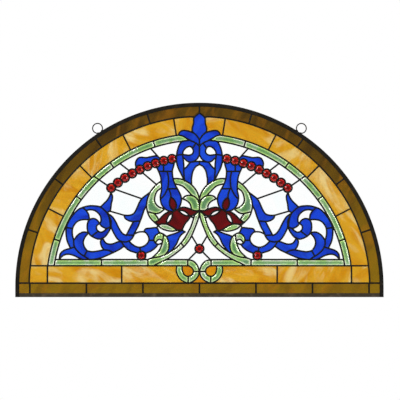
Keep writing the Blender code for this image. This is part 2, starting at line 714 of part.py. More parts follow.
def ribbon(sheet, line, width):
    """Patches along a line, mitred where it turns."""
    sides = []
    for i, point in enumerate(line):
        before = (point - line[i - 1]).normalized() if i else None
        after = (line[i + 1] - point).normalized() if i + 1 < len(line) else None
        along = ((before or after) + (after or before)).normalized()
        across = Vector((-along.y, along.x))
        straight = Vector((-(after or before).y, (after or before).x))
        reach = width / 2 / max(0.5, across.dot(straight))
        sides.append((point + across * reach, point - across * reach))
    for (a, b), (c, d) in zip(sides, sides[1:]):
        sheet.patch([a, b, d, c])


def retiled(corners, faces, slack):
    """The same patch with the fewest corners along its edges."""
    loops = []
    for loop in loops_of(corners, faces):
        points = [corners[i] for i in loop]
        start = max(range(len(points)), key=lambda i: points[i].x + points[i].y * 0.01)
        points = points[start:] + points[:start + 1]
        slim = thin(points, slack)[:-1]
        if len(slim) > 2:
            loops.append(slim)
    patch = Drawing()
    for loop in loops:
        patch.line(loop, closed=True)
    spots, tiles, _, _ = patch.triangles(0)
    tiles = [tile for tile in tiles if inside(middle_of(spots, tile), loops)]
    linked = groups(range(len(tiles)), [(a, b) for a, b, _ in neighbours(tiles)])
    return spots, [tiles[i] for i in max(linked, key=len)]


def build_leads():
    """The soldered lead net on the front of the glass."""
    sheet = Drawing()
    for line in cartoon():
        ribbon(sheet, line, LEAD_WIDTH)
    ring_radius = JEWEL_DIAMETER / 2 + FIT_GAP + LEAD_WIDTH / 2
    for group in all_jewels():
        for place in group:
            ring = circle(place, ring_radius / math.cos(math.pi / RING_SIDES), RING_SIDES)
            ribbon(sheet, ring + ring[:2], LEAD_WIDTH)
    corners, faces, _, patches = sheet.triangles(1)
    jewels = [place for group in all_jewels() for place in group]
    kept = []
    for face, ids in zip(faces, patches):
        centre = middle_of(corners, face)
        if not ids or any((centre - place).length < JEWEL_DIAMETER / 2 + FIT_GAP for place in jewels):
            continue
        kept.append(face)
    links = neighbours(kept)
    nets = sorted(groups(range(len(kept)), [(a, b) for a, b, _ in links]), key=len)
    corners, faces = retiled(corners, [kept[i] for i in nets[-1]], LEAD_SLACK)
    seat = -GLASS_THICKNESS / 2 - FIT_GAP
    add_object("lead_net", prism(corners, faces, -LEAD_DEPTH / 2, seat), "solder")


def channel_section(bm, x, z):
    """The frame's U section, open towards the glass, lying flat at one height."""
    deep = FRAME_DEPTH / 2
    lip = deep - CHANNEL_WALL
    points = [(0, -deep), (0, deep), (FRAME_FACE, deep), (FRAME_FACE, lip), (CHANNEL_FLOOR, lip),
              (CHANNEL_FLOOR, -lip), (FRAME_FACE, -lip), (FRAME_FACE, -deep)]
    verts = [bm.verts.new((x - inward, y, z)) for inward, y in points]
    return bm.faces.new(verts)


def build_frame():
    bm = bmesh.new()
    start = channel_section(bm, ARCH_RADIUS, -ORIGIN_LEVEL)
    rise = Vector((0, 0, STRAIGHT_SIDE))
    up = bmesh.ops.extrude_face_region(bm, geom=[start])
    verts = [item for item in up["geom"] if isinstance(item, bmesh.types.BMVert)]
    bmesh.ops.translate(bm, verts=verts, vec=rise)
    face = [item for item in up["geom"] if isinstance(item, bmesh.types.BMFace)]
    turned = bmesh.ops.spin(bm, geom=face, cent=(0, 0, STRAIGHT_SIDE - ORIGIN_LEVEL),
                            axis=(0, -1, 0), angle=math.pi, steps=ARCH_STEPS)
    last = [item for item in turned["geom_last"] if isinstance(item, bmesh.types.BMFace)]
    down = bmesh.ops.extrude_face_region(bm, geom=last)
    verts = [item for item in down["geom"] if isinstance(item, bmesh.types.BMVert)]
    bmesh.ops.translate(bm, verts=verts, vec=-rise)
    bmesh.ops.delete(bm, geom=face + last, context="FACES_ONLY")
    add_object("frame_arch", bm, "frame_metal")

    bm = bmesh.new()
    face = channel_section(bm, 0, 0)
    half = ARCH_RADIUS - FRAME_FACE - FIT_GAP
    turn = Matrix.Rotation(math.pi / 2, 3, "Y")
    bmesh.ops.rotate(bm, verts=bm.verts, cent=(0, 0, 0), matrix=turn)
    bmesh.ops.translate(bm, verts=bm.verts, vec=(-half, 0, -ORIGIN_LEVEL))
    along = bmesh.ops.extrude_face_region(bm, geom=[face])
    verts = [item for item in along["geom"] if isinstance(item, bmesh.types.BMVert)]
    bmesh.ops.translate(bm, verts=verts, vec=(half * 2, 0, 0))
    add_object("frame_sill", bm, "frame_metal")


def build_jewels():
    """A jewel is a disc with a bevelled crown and a flat table at the front."""
    profile = [(JEWEL_DIAMETER / 2, GLASS_THICKNESS / 2), (JEWEL_DIAMETER / 2, -GLASS_THICKNESS / 2),
               (JEWEL_DIAMETER * 0.27, -GLASS_THICKNESS / 2 - JEWEL_CROWN)]
    right, left, centre = all_jewels()
    named = [(f"jewel_right_{i + 1:02d}", place) for i, place in enumerate(right)]
    named += [(f"jewel_left_{i + 1:02d}", place) for i, place in enumerate(left)]
    named += [(f"jewel_centre_{i + 1:02d}", place) for i, place in enumerate(centre)]
    for name, place in named:
        bm = bmesh.new()
        rings = []
        for radius, y in profile:
            rings.append([bm.verts.new((point.x, y, point.y - ORIGIN_LEVEL))
                          for point in circle(place, radius, JEWEL_SIDES)])
        bm.faces.new(rings[0])
        bm.faces.new(list(reversed(rings[-1])))
        for below, above in zip(rings, rings[1:]):
            for i in range(JEWEL_SIDES):
                j = (i + 1) % JEWEL_SIDES
                bm.faces.new([below[i], below[j], above[j], above[i]])
        add_object(name, bm, "jewel_glass")


def build_loops():
    """Bent wire from the arch, round and back to it."""
    seat = ARCH_RADIUS + FIT_GAP * 2 + LOOP_WIRE * 0.25
    foot = math.acos((LOOP_REACH ** 2 + LOOP_RADIUS ** 2 - seat ** 2)
                     / (2 * LOOP_REACH * LOOP_RADIUS))
    tilt = math.acos(LOOP_OFFSET / LOOP_REACH)
    steps = 14
    for name, side in (("loop_right", 1), ("loop_left", -1)):
        curve = bpy.data.curves.new(name, "CURVE")
        curve.dimensions = "3D"
        curve.bevel_depth = LOOP_WIRE / 2
        curve.bevel_resolution = 1
        curve.use_fill_caps = True
        curve.materials.append(material("frame_metal"))
        spline = curve.splines.new("POLY")
        spline.points.add(steps)
        for i in range(steps + 1):
            angle = tilt + math.pi + foot + (math.tau - 2 * foot) * i / steps
            x = side * (LOOP_OFFSET + LOOP_RADIUS * math.cos(angle))
            z = LOOP_LEVEL + LOOP_RADIUS * math.sin(angle) - ORIGIN_LEVEL
            spline.points[i].co = (x, 0, z, 1)
        made = bpy.data.objects.new(name, curve)
        bpy.context.collection.objects.link(made)


def main():
    clear_scene()
    build_frame()
    build_leads()
    build_glass()
    build_jewels()
    build_loops()


main()
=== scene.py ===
"""Looks of the half-round stained-glass window panel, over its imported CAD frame.

The glazier's cartoon is laid out again here, finer than in the solids: every line of it
becomes a rounded lead, and every space between the lines its own piece of glass.
Lengths are metres, +Z is up and the front faces -Y.
"""

import math
import random

import bmesh
import bpy
import numpy as np
from mathutils import Matrix, Vector, geometry

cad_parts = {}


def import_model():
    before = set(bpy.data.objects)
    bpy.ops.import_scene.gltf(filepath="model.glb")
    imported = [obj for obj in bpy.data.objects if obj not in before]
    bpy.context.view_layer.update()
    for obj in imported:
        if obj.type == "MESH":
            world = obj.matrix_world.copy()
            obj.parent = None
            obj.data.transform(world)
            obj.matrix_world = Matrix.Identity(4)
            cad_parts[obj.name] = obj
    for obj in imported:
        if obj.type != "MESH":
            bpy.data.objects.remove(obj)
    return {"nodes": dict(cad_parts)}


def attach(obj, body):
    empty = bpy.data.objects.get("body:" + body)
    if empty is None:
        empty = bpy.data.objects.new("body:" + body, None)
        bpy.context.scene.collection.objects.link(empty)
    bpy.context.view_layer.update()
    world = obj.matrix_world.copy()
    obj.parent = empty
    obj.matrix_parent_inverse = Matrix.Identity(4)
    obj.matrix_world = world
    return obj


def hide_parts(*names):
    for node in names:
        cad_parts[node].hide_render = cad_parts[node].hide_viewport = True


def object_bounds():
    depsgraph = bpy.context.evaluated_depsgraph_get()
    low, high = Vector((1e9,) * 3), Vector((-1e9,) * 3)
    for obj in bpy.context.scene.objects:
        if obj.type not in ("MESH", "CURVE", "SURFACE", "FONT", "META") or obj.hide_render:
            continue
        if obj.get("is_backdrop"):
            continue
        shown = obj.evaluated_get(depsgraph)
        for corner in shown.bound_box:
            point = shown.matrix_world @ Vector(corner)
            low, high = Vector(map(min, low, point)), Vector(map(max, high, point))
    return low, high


# Panel outline and frame, as in the solids
PANEL_WIDTH = 0.914
STRAIGHT_SIDE = 0.0254
FRAME_FACE = 0.0097
FRAME_DEPTH = 0.0085
CHANNEL_WALL = 0.0018
CHANNEL_FLOOR = 0.0050
CHANNEL_ROUNDING = 0.0006
FIT_GAP = 0.0003
ARCH_STEPS = 144

# Bands of border glass, measured between lead centre lines, from the frame inwards
BROWN_BAND = 0.0245
AMBER_BAND = 0.0427
BEVEL_BAND = 0.0158
BROWN_SILL_BAND = 0.0250
AMBER_SILL_BAND = 0.0431
BEVEL_SILL_BAND = 0.0152

# Glass: a piece tilts by up to GLASS_TILT over TILT_SPAN
GLASS_THICKNESS = 0.0030
GLASS_TILT = 0.00018
TILT_SPAN = 0.05
# Bevels of the green pieces: width, depth in front of the middle at the edge, and rise
BEVEL_REACH = 0.0045
BEVEL_EDGE = 0.0007
BEVEL_RISE = 0.0017
# How far into a green piece its glass is darkest
CORE_REACH = 0.0085
# Points inside a green piece: their spacing, the least share of it between two of them,
# and the least share of the bevel's width between them and the edge
BEVEL_STEP = 0.0034
SPREAD_SHARE = 0.6
CLEAR_SHARE = 0.3

# Leads; a ring's centre line lies RING_SHARE of a lead outside its jewel
LEAD_WIDTH = 0.0045
LEAD_DEPTH = 0.0062
LEAD_ROUNDING = 3
JOINT_WIDTH = 0.0047
RING_SHARE = 0.45
RING_SIDES = 28
CURVE_STEPS = 10
CURVE_TOLERANCE = 0.00012

# Jewels; the crown's steps are a depth, a share of the radius and a turn in half facets
JEWEL_DIAMETER = 0.0178
JEWEL_FACETS = 12
JEWEL_BACK = 0.0018
JEWEL_CROWN = [(-0.0012, 1.0, 0), (-0.0030, 0.74, 1), (-0.0043, 0.44, 0)]
SWAG_JEWELS = 9
SWAG_RADIUS = 0.335

# Hanging loops; the shares are of the wire's width
LOOP_WIRE = 0.0028
LOOP_RADIUS = 0.0122
LOOP_OFFSET = 0.253
LOOP_LIFT = 0.0108
LOOP_SINK = 0.1
LOOP_SOLDER = 0.85
LOOP_STEPS = 48
LOOP_ROUNDING = 4

# Places worked out from the sizes above; heights are from the sill's underside
ARCH_RADIUS = PANEL_WIDTH / 2
SIGHT_RADIUS = ARCH_RADIUS - FRAME_FACE
BROWN_RADIUS = SIGHT_RADIUS - BROWN_BAND
AMBER_RADIUS = BROWN_RADIUS - AMBER_BAND
LEAD_RADIUS = SIGHT_RADIUS - FIT_GAP * 2
FIELD_RADIUS = AMBER_RADIUS - BEVEL_BAND
BROWN_LEVEL = FRAME_FACE + BROWN_SILL_BAND
AMBER_LEVEL = BROWN_LEVEL + AMBER_SILL_BAND
FIELD_LEVEL = AMBER_LEVEL + BEVEL_SILL_BAND
LOOP_REACH = ARCH_RADIUS + LOOP_LIFT
LOOP_LEVEL = STRAIGHT_SIDE + math.sqrt(LOOP_REACH ** 2 - LOOP_OFFSET ** 2)
ORIGIN_LEVEL = LOOP_LEVEL + LOOP_RADIUS - LOOP_WIRE / 2

# The cartoon's own levels, in its units of one millimetre
MILLIMETRES = 1000
DRAWN_FOOT = 34.7
DRAWN_LEVEL = 93.0
DRAWN_CROWN = 389.7
DRAWN_HEAD = 448.2
DRAWN_TIP = 457.0
SCALE = (STRAIGHT_SIDE + FIELD_RADIUS - FIELD_LEVEL) / (DRAWN_CROWN - DRAWN_LEVEL)

# Curves of one half: distance from the centre line and height, smooth through the points
CURVES = {
    "scroll_spine": [(320, 121), (328, 139), (331, 158), (330, 175), (323.5, 190), (313, 205),
                     (301, 217), (288, 223), (273, 226.5), (257, 226), (246, 223.5), (237, 217),
                     (228, 207), (223, 193), (221.5, 180), (222, 169), (228, 158), (237, 148),
                     (249, 144), (262, 148), (273, 156), (278, 167), (278, 182), (273, 192),
                     (263, 195), (254, 191), (248, 183)],
    "scroll_inner": [(312, 140.5), (315.5, 155), (315, 170), (309, 182), (300, 189.5),
                     (288, 192.5), (273, 192)],
    "scroll_top_lining": [(281, 215), (271, 217), (260, 215), (251, 208.5), (245, 199),
                          (244.5, 188), (248, 183)],
    "scroll_eye_top": [(248, 183), (244, 177), (236, 172), (230, 170.5), (222, 174)],
    "scroll_eye_bottom": [(248, 183), (255, 177), (255, 168.5), (249, 162), (241, 161.5),
                          (232, 168), (230, 170.5)],
    "inner_leaf_back": [(312, 140.5), (311.5, 129), (306, 118), (295, 107), (285, 101),
                        (273, 92.5)],
    "inner_leaf_top": [(312, 140.5), (304, 152), (295, 159), (286, 161.5), (275, 159.5)],
    "inner_leaf_front": [(275, 159.5), (284, 149), (288.5, 137), (286, 125), (279, 115)],
    "bowl_top": [(279, 115), (267, 112.5), (253, 114), (237, 117.5)],
    "bowl_bottom": [(273, 92.5), (250, 96), (234, 101.5), (214, 110.5), (199, 118), (187, 126.5)],
    "tail_top": [(347.5, 95), (345.5, 107), (336, 116), (320, 121), (311, 124)],
    "tail_bottom": [(347.5, 95), (337, 104), (325, 106.5), (312, 103.5), (299, 97), (290, 94)],
    "hook_leaf_back": [(237, 117.5), (243, 126), (245.5, 137), (241, 147)],
    "hook_leaf_top": [(241, 147), (232, 134), (218, 131.5), (202, 137), (190, 138.5)],
    "hook_leaf_bottom": [(237, 117.5), (226, 116), (214, 110.5)],
    "flame_left": [(220, 260), (223.5, 249), (231.5, 237.5), (245, 225.5)],
    "flame_right": [(220, 260), (216, 251), (216.5, 242), (219, 231), (221.5, 215),
                    (230, 209.5)],
    "stem_leaf_upper": [(229.5, 208.5), (216, 199), (207, 185), (199, 169), (191, 158),
                        (182, 153)],
    "stem_leaf_lower": [(227, 206), (219.5, 190), (219, 174), (212, 158), (202, 143),
                        (191, 137.5), (180, 137.5), (170.5, 142), (164, 151), (161, 160)],
    "branch_left": [(182, 153), (173, 170), (164, 187)],
    "branch_right": [(161, 160), (153, 174), (147, 189), (142, 202), (138, 215), (132.5, 228)],
    "curl_under": [(187, 203), (184, 195.5), (176, 190), (165, 187.5), (147, 189)],
    "curl_over": [(187, 203), (174, 203), (163, 207.5), (156, 219), (149, 235), (143, 244),
                  (125, 262)],
    "oval": [(174, 137), (167, 131), (159, 126), (149, 123.5), (139, 126), (131, 131.5),
             (126, 139), (125.5, 147), (129, 155), (136, 161.5), (147, 162), (155, 160),
             (161, 156)],
    "knee_top": [(138, 163), (133, 169.5), (121, 171), (106, 172), (101, 163), (97, 158)],
    "knee_bottom": [(187, 126.5), (179, 119), (170, 114), (157, 110), (150, 106)],
    "knee_front": [(138, 106), (131, 110), (121, 114), (110, 122), (103, 130)],
    "bud": [(89, 156), (97, 159), (105, 156), (111, 150), (113, 143), (111, 136), (105, 131.5),
            (99, 131.5), (94, 135)],
    "bud_eye": [(109, 133.5), (106, 139.5), (100.5, 143.5), (95.5, 142.5), (92, 139)],
    "palm_front": [(118, 98.5), (107, 107), (99, 117), (94, 129), (91, 141), (89, 156)],
    "palm_back": [(89, 156), (82, 150), (77, 139), (75.5, 126), (78.5, 114), (85, 106)],
    "palm_blue_top": [(82, 150), (73, 154), (63, 157), (53, 161), (43, 165), (36, 162)],
    "palm_blue_side": [(36, 162), (46, 154), (52, 144), (56, 134), (62, 125), (73, 113)],
    "stalk_inner": [(0, 214), (1.5, 200), (6, 185), (12, 170), (19, 153), (27, 139), (38, 126),
                    (53, 113), (68, 102), (83, 93), (98, 86), (114, 80.5)],
    "stalk_outer": [(4, 211), (12, 203), (16, 190), (21, 175), (27, 163), (36, 147),
                    (46, 134), (58, 122), (73, 112), (87, 104.5), (102, 99.5), (118, 97),
                    (128, 93)],
    "ring_outer": [(95, 288), (108, 278), (120, 264), (128, 247), (131.5, 228), (129, 212),
                   (123, 198), (113, 187), (103, 178)],
    "ring_inner": [(95, 271), (105, 263), (110, 252), (111.5, 240), (108, 231), (101, 224),
                   (93, 220.5), (86.5, 219.5), (95, 211.5), (104, 207.5), (113, 208), (121, 210),
                   (129, 212)],
    "cup_leaf": [(113, 208), (106, 200), (101, 191.5)],
    "saucer_top": [(103, 178), (96, 181), (82, 181), (68, 174.5), (55, 166)],
    "saucer_bottom": [(103, 178), (95, 171), (83, 166), (68, 163.5), (55, 166)],
    "petal_left": [(111, 186), (101, 191.5), (93, 200), (85, 207), (74, 213)],
    "slit_left": [(67, 208), (75.5, 203), (81, 192), (82, 183)],
    "slit_right": [(67, 208), (68.5, 197), (74.5, 187.5), (82, 183)],
    "flower_right": [(43, 166), (40, 174), (35, 183), (28, 191), (22, 200)],
    "upper_slit_top": [(52, 215), (43, 215), (33, 210.5), (24, 201)],
    "upper_slit_bottom": [(52, 215), (45, 208), (35, 202.5), (24, 201)],
    "petal_right_top": [(51, 220), (41, 223), (31, 221.5), (21, 218), (11, 214.5), (0, 215)],
    "petal_right_bottom": [(24, 201), (16, 203), (9, 208), (0, 214)],
    "vase_left": [(108, 330), (105, 320), (100, 309), (96, 297), (94.5, 282), (94, 265), (97, 250),
                  (95.5, 235), (90, 224), (80, 215.5), (65, 212)],
    "vase_right": [(66, 340), (63, 331), (67, 316), (67, 304), (65, 292), (60, 278), (52, 264),
                   (46, 251), (45, 240), (47, 230), (51, 220)],
    "vase_middle": [(80, 311), (77, 297), (77, 282), (79, 270), (87, 254), (96, 243)],
    "flame_back": [(76, 269), (72, 258), (71, 249), (74, 239), (74, 229), (70, 220),
                   (64, 215.5)],
    "flame_front": [(71, 249), (62, 241), (57.5, 231), (58, 222), (64, 215.5)],
    "wing_outer": [(65, 294), (53, 294), (41, 291.5), (30, 286), (20, 279), (11, 269),
                   (4, 257), (0, 243)],
    "wing_inner": [(61, 281), (51, 279), (41, 275), (31, 266), (23, 257), (18, 251)],
    "comma_top": [(42, 244), (36, 250), (27, 252.5), (17, 251.5), (9, 247), (3, 239),
                  (0, 228)],
    "comma_bottom": [(42, 244), (31, 239), (23, 231), (19.5, 218)],
    "crown_side": [(0, 457), (8, 451), (14, 444), (14.5, 432), (18, 419), (16.5, 410),
                   (8, 402), (0, 391)],
    "leaf_top": [(52, 402), (49, 409), (42, 413.5), (32, 413), (22, 410.5), (15, 407)],
    "leaf_bottom": [(52, 402), (42, 400), (32, 394), (21, 388), (8, 382), (0, 374)],
    "loop_outer": [(24, 389), (34, 388), (44, 386), (51, 375), (55, 362), (57, 348),
                   (56.5, 334), (52, 319), (46, 307), (37, 288.5)],
    "loop_side": [(37, 288.5), (39, 312), (39, 330), (42, 354)],
    "loop_eye": [(42, 354), (40, 363), (34, 370), (26, 374), (19, 371.5), (15, 363),
                 (18, 355), (26, 352), (34, 353), (42, 354)],
    "loop_belly": [(0, 353), (6, 343), (14, 337), (23, 335), (31, 338), (36, 343),
                   (40.5, 347)],
    "drop_side": [(0, 329), (9, 324), (16, 313), (19, 300), (20, 290), (19, 279)],
    "drop_back": [(39, 317), (31, 324), (23, 335)],
    "hook_top": [(150, 318), (157, 323), (158.5, 334), (153, 344), (145, 347), (132, 346),
                 (120, 348.5), (106, 350), (94, 341)],
    "knot_outer": [(56, 78), (57.5, 66), (53, 52), (43, 41), (28, 34)],
    "knot_middle": [(28, 34), (13, 41), (4, 51), (0, 63)],
    "knot_top": [(0, 63), (5, 78), (15, 89), (29, 93)],
    "knot_inner": [(43, 78), (42.5, 66), (38, 56), (29, 51.5), (19, 55), (15, 64),
                   (18, 72), (26, 78)],
}
# Straight leads of one half, in the same units
LEADS = {
    "scroll_cut_top": [(290, 222.5), (281, 215), (275, 205), (273, 192)],
    "scroll_cut_left": [(332, 173), (315, 170)],
    "spiral_cut": [(252, 163), (267, 152)],
    "bowl_cut": [(279, 115), (286, 102)],
    "hook_leaf_cut": [(194, 139), (187, 126.5)],
    "branch_cut": [(180, 153.5), (164, 153.5)],
    "knee_cut": [(126, 141), (113, 141)],
    "knee_jewel_cut": [(148, 124), (145, 108)],
    "jewel_foot_left": [(151, 104), (154, 101), (152, 93)],
    "jewel_foot_right": [(137, 104), (134, 101), (136, 93)],
    "bud_cut": [(106, 172), (103, 178)],
    "stalk_cut": [(46, 134), (39, 126)],
    "stalk_foot": [(128, 93), (128, 78)],
    "field_lead_left": [(262, 300), (220, 271)],
    "field_lead_mid": [(220, 271), (143, 244)],
    "field_lead_curl": [(222, 213), (187, 203)],
    "field_lead_ring": [(150, 316), (108, 281)],
    "field_lead_swag": [(197, 331), (166, 307)],
    "field_lead_crown": [(121, 369), (102, 347)],
    "flower_base": [(111, 186), (101, 180)],
    "flower_side": [(82, 183), (80, 181)],
    "flower_foot": [(55, 166), (43, 166), (36, 162)],
    "flower_join": [(65, 212), (51, 220)],
    "flower_tip": [(24, 201), (22, 200), (17, 197)],
    "neck_cut": [(101.5, 312), (67, 312)],
    "neck_post": [(88, 336), (89, 312)],
    "bulb_cut": [(79, 269), (55, 269)],
    "comma_lead": [(45, 245), (42, 244)],
    "loop_cut_low": [(57, 352), (42, 354)],
    "loop_cut_high": [(9, 382), (17, 370)],
    "centre_tie": [(23, 335), (0, 337)],
    "drop_lead": [(19, 152), (0, 120)],
    "foot_lead": [(0, 120), (27, 94)],
    "knot_cut_side": [(15, 64), (0, 63)],
    "knot_cut_foot": [(28, 51.5), (28, 34)],
    "knot_cut_top": [(29, 93), (29, 78)],
}
# Leads along the centre line, each a pair of heights
CENTRE_LEADS = [(391, 353), (337, 329), (243, 214)]

# Border cuts: angles from the sill line about the arch centre, and distances along the sill
BROWN_CUTS = [18.5, 36.8, 55.0, 73.2]
AMBER_CUTS = [27.4, 45.4, 63.3, 81.3]
BEVEL_CUTS = [18.2, 36.4, 54.3, 72.4]
BROWN_SILL_CUTS = [140.3, 280.6, 421.0]
AMBER_SILL_CUTS = [193.0, 377.4]
BEVEL_SILL_CUTS = [243.0]

# Where the border leads stop at the crown and at the knot
BROWN_STOP = 14.5
AMBER_STOP = 52.0
FIELD_STOP = 45.0
AMBER_SILL_STOP = 26.0
FIELD_SILL_STOPS = [(361.0, 128.0), (83.0, 29.0)]

# A mark inside each coloured piece; unmarked glass takes its band's colour
MARKS = {
    "cobalt_glass": [(301, 205), (323, 160), (237, 200), (268, 175), (249, 153), (296, 135),
                     (321, 113), (256, 104), (217, 122), (224, 228), (197, 150), (159, 178),
                     (162, 197), (118, 160), (121, 125), (167, 122), (65, 140), (88, 290),
                     (70, 290), (85, 235), (53, 245), (97, 319), (76, 322), (144, 338),
                     (0, 430), (36, 405), (50, 366), (8, 357), (48, 330), (26, 310)],
    "ruby_glass": [(95, 190), (48, 185), (22, 212), (66, 230)],
    "green_bevel_glass": [(121, 240), (113, 197), (83, 173), (38, 283), (13, 235), (22, 165),
                          (73, 107), (85, 130), (102, 151), (50, 60), (18, 47), (11, 80)],
    "orange_glass": [(29, 64), (0, 42)],
}
# Single jewels: on the centre line and under the knees
SINGLE_JEWELS = [(0, 120), (144, 103)]
SWAG_ENDS = [(219, 271), (68, 343)]
SWAG_TIE = (57, 345)

# A line's end is carried across the line it meets, if that is within DRAWN_JOIN
DRAWN_JOIN = 4.0
JOIN_OVERSHOOT = 0.0001
JOIN_ROUNDS = 3
THINNEST_GLASS = 0.0010
MERGE = 1e-5

# Metal: material, patina, rubbed colour, share of wear and metallic
METALS = {
    "lead": ("black_solder", (3, 4, 2), (28, 27, 22), 0.3, 0.0),
    "frame": ("dark_bronze", (12, 9, 3), (46, 36, 20), 0.45, 0.1),
    "sill": ("brown_bronze", (56, 48, 36), (100, 86, 66), 0.6, 0.2),
}
# Glass: base, streak and deep colour, share of streaks, transmission and roughness
GLASSES = {
    "amber_glass": ((228, 174, 36), (244, 222, 150), (214, 146, 4), 0.85, 0.6, 0.12),
    "cobalt_glass": ((18, 70, 218), (36, 100, 236), (8, 42, 174), 0.5, 0.85, 0.06),
    "ruby_glass": ((100, 0, 4), (132, 2, 8), (70, 0, 2), 0.5, 0.85, 0.06),
    "orange_glass": ((222, 152, 0), (236, 180, 30), (204, 120, 0), 0.5, 0.7, 0.08),
    "clear_glass": ((255, 255, 255), (255, 255, 255), (249, 255, 255), 0.6, 1.0, 0.0),
    "brown_glass": ((120, 88, 0), (178, 114, 6), (96, 68, 0), 0.4, 0.85, 0.08),
    "green_bevel_glass": ((116, 168, 98), (172, 214, 144), (92, 146, 86), 0.6, 0.7, 0.02),
}
# Brown glass at two levels of the panel
TINT_LEVELS = (0.03, 0.40)
BROWN_TINTS = {"Base": ((142, 108, 0), (96, 68, 0)), "Deep": ((126, 92, 0), (76, 52, 0))}
# Shares of CORE_REACH over which the painted highlight along the bevel ends and the darker core
# begins
BEVEL_HIGHLIGHT_SHARES = (0.38, 0.54)
CORE_SHARES = (0.58, 0.90)
STREAK_STRETCH = (1.0, 2.6, 1.0)
METAL_ROUGHNESS = (0.38, 0.58)
GLASS_SPECULAR = 0.15
BEVEL_SPECULAR = 0.8
JEWEL_SPECULAR = 0.4
METAL_SPECULAR = 0.2

# Studio; each lamp has a name, a place, a width and a power
FRONT_LIGHT = 0.22
BACK_LIGHT = 1.06
LIGHTS = [("key", (-1.6, -2.4, 1.4), 1.6, 75), ("fill", (1.9, -2.2, 0.3), 1.2, 32)]
LIGHT_TARGET = (0, 0, -0.2)
LIGHT_SHAPE = 0.7
FLOOR_SIZE = 1.24
FLOOR_LEVEL = -0.80

# Camera: the photograph's centre and width on the panel's plane
SENSOR_WIDTH = 36
CAMERA_DISTANCE = 6.0
VIEW_WIDTH = 0.993
VIEW_MIDDLE = 0.0014
VIEW_HEIGHT = 0.241


# The cartoon

def drawn(point):
    """A cartoon point as a place on the panel, in metres."""
    x, z = point
    if z < DRAWN_LEVEL:
        rise = (FIELD_LEVEL - BROWN_LEVEL) / (DRAWN_LEVEL - DRAWN_FOOT)
        return Vector((x * SCALE, FIELD_LEVEL + (z - DRAWN_LEVEL) * rise))
    if z > DRAWN_CROWN:
        rise = (BROWN_RADIUS - FIELD_RADIUS) / (DRAWN_HEAD - DRAWN_CROWN)
        return Vector((x * SCALE, STRAIGHT_SIDE + FIELD_RADIUS + (z - DRAWN_CROWN) * rise))
    return Vector((x * SCALE, FIELD_LEVEL + (z - DRAWN_LEVEL) * SCALE))


def polar(radius, degrees):
    angle = math.radians(degrees)
    return Vector((radius * math.cos(angle), STRAIGHT_SIDE + radius * math.sin(angle)))


def smooth(points):
    """A Catmull-Rom curve through the points."""
    ends = [points[0] * 2 - points[1]] + points + [points[-1] * 2 - points[-2]]
    dense = []
    for a, b, c, d in zip(ends, ends[1:], ends[2:], ends[3:]):
        for i in range(CURVE_STEPS):
            t = i / CURVE_STEPS
            dense.append(0.5 * (2 * b + (c - a) * t + (2 * a - 5 * b + 4 * c - d) * t * t
                                + (3 * b - a - 3 * c + d) * t ** 3))
    return thin(dense + [points[-1]])


def thin(points):
    """Drops the points that lie within the tolerance of the line between their neighbours."""
    first, last = points[0], points[-1]
    worst, where = 0.0, 0
    for i in range(1, len(points) - 1):
        if (last - first).length < MERGE:
            away = (points[i] - first).length
        else:
            foot = geometry.intersect_point_line(points[i], first, last)[0]
            away = (points[i] - Vector(foot[:2])).length
        if away > worst:
            worst, where = away, i
    if worst <= CURVE_TOLERANCE:
        return [first, last]
    return thin(points[:where + 1])[:-1] + thin(points[where:])


def arc(radius, start, stop):
    """A lead round the arch, from one height to a distance off the centre line."""
    high = math.degrees(math.acos(stop / radius))
    low = math.degrees(math.asin((start - STRAIGHT_SIDE) / radius))
    steps = max(2, round((high - low) / 180 * ARCH_STEPS))
    return [polar(radius, low + (high - low) * i / steps) for i in range(steps + 1)]


def level_reach(radius, level):
    """How far from the centre line a level meets an arc."""
    return math.sqrt(radius ** 2 - (level - STRAIGHT_SIDE) ** 2)


def border_lines():
    """The leads of the three border bands, for one half."""
    lines = [arc(BROWN_RADIUS, BROWN_LEVEL, drawn((BROWN_STOP, 0)).x),
             arc(AMBER_RADIUS, AMBER_LEVEL, drawn((AMBER_STOP, 0)).x),
             arc(FIELD_RADIUS, AMBER_LEVEL, drawn((FIELD_STOP, 0)).x)]
    for angles, inner, outer in ((BROWN_CUTS, BROWN_RADIUS, LEAD_RADIUS),
                                 (AMBER_CUTS, AMBER_RADIUS, BROWN_RADIUS),
                                 (BEVEL_CUTS, FIELD_RADIUS, AMBER_RADIUS)):
        lines += [[polar(inner, angle), polar(outer, angle)] for angle in angles]
    lines.append([Vector((0, BROWN_LEVEL)),
                  Vector((level_reach(LEAD_RADIUS, BROWN_LEVEL + LEAD_WIDTH), BROWN_LEVEL))])
    lines.append([Vector((drawn((AMBER_SILL_STOP, 0)).x, AMBER_LEVEL)),
                  Vector((level_reach(BROWN_RADIUS, AMBER_LEVEL), AMBER_LEVEL))])
    for far, near in FIELD_SILL_STOPS:
        lines.append([Vector((drawn((near, 0)).x, FIELD_LEVEL)),
                      Vector((min(drawn((far, 0)).x, level_reach(FIELD_RADIUS, FIELD_LEVEL)),
                              FIELD_LEVEL))])
    for places, low, high in ((BROWN_SILL_CUTS, FRAME_FACE + FIT_GAP * 2, BROWN_LEVEL),
                              (AMBER_SILL_CUTS, BROWN_LEVEL, AMBER_LEVEL),
                              (BEVEL_SILL_CUTS, AMBER_LEVEL, FIELD_LEVEL)):
        lines += [[Vector((drawn((place, 0)).x, low)), Vector((drawn((place, 0)).x, high))]
                  for place in places]
    return lines


def nearest(point, lines):
    """The place on the lines that is nearest to a point."""
    best, place = DRAWN_JOIN * SCALE, None
    for line in lines:
        for a, b in zip(line, line[1:]):
            if abs(a.x - point.x) > best + (b - a).length:
                continue
            share = min(1, max(0, geometry.intersect_point_line(point, a, b)[1]))
            spot = a + (b - a) * share
            if (spot - point).length < best:
                best, place = (spot - point).length, spot
    return place


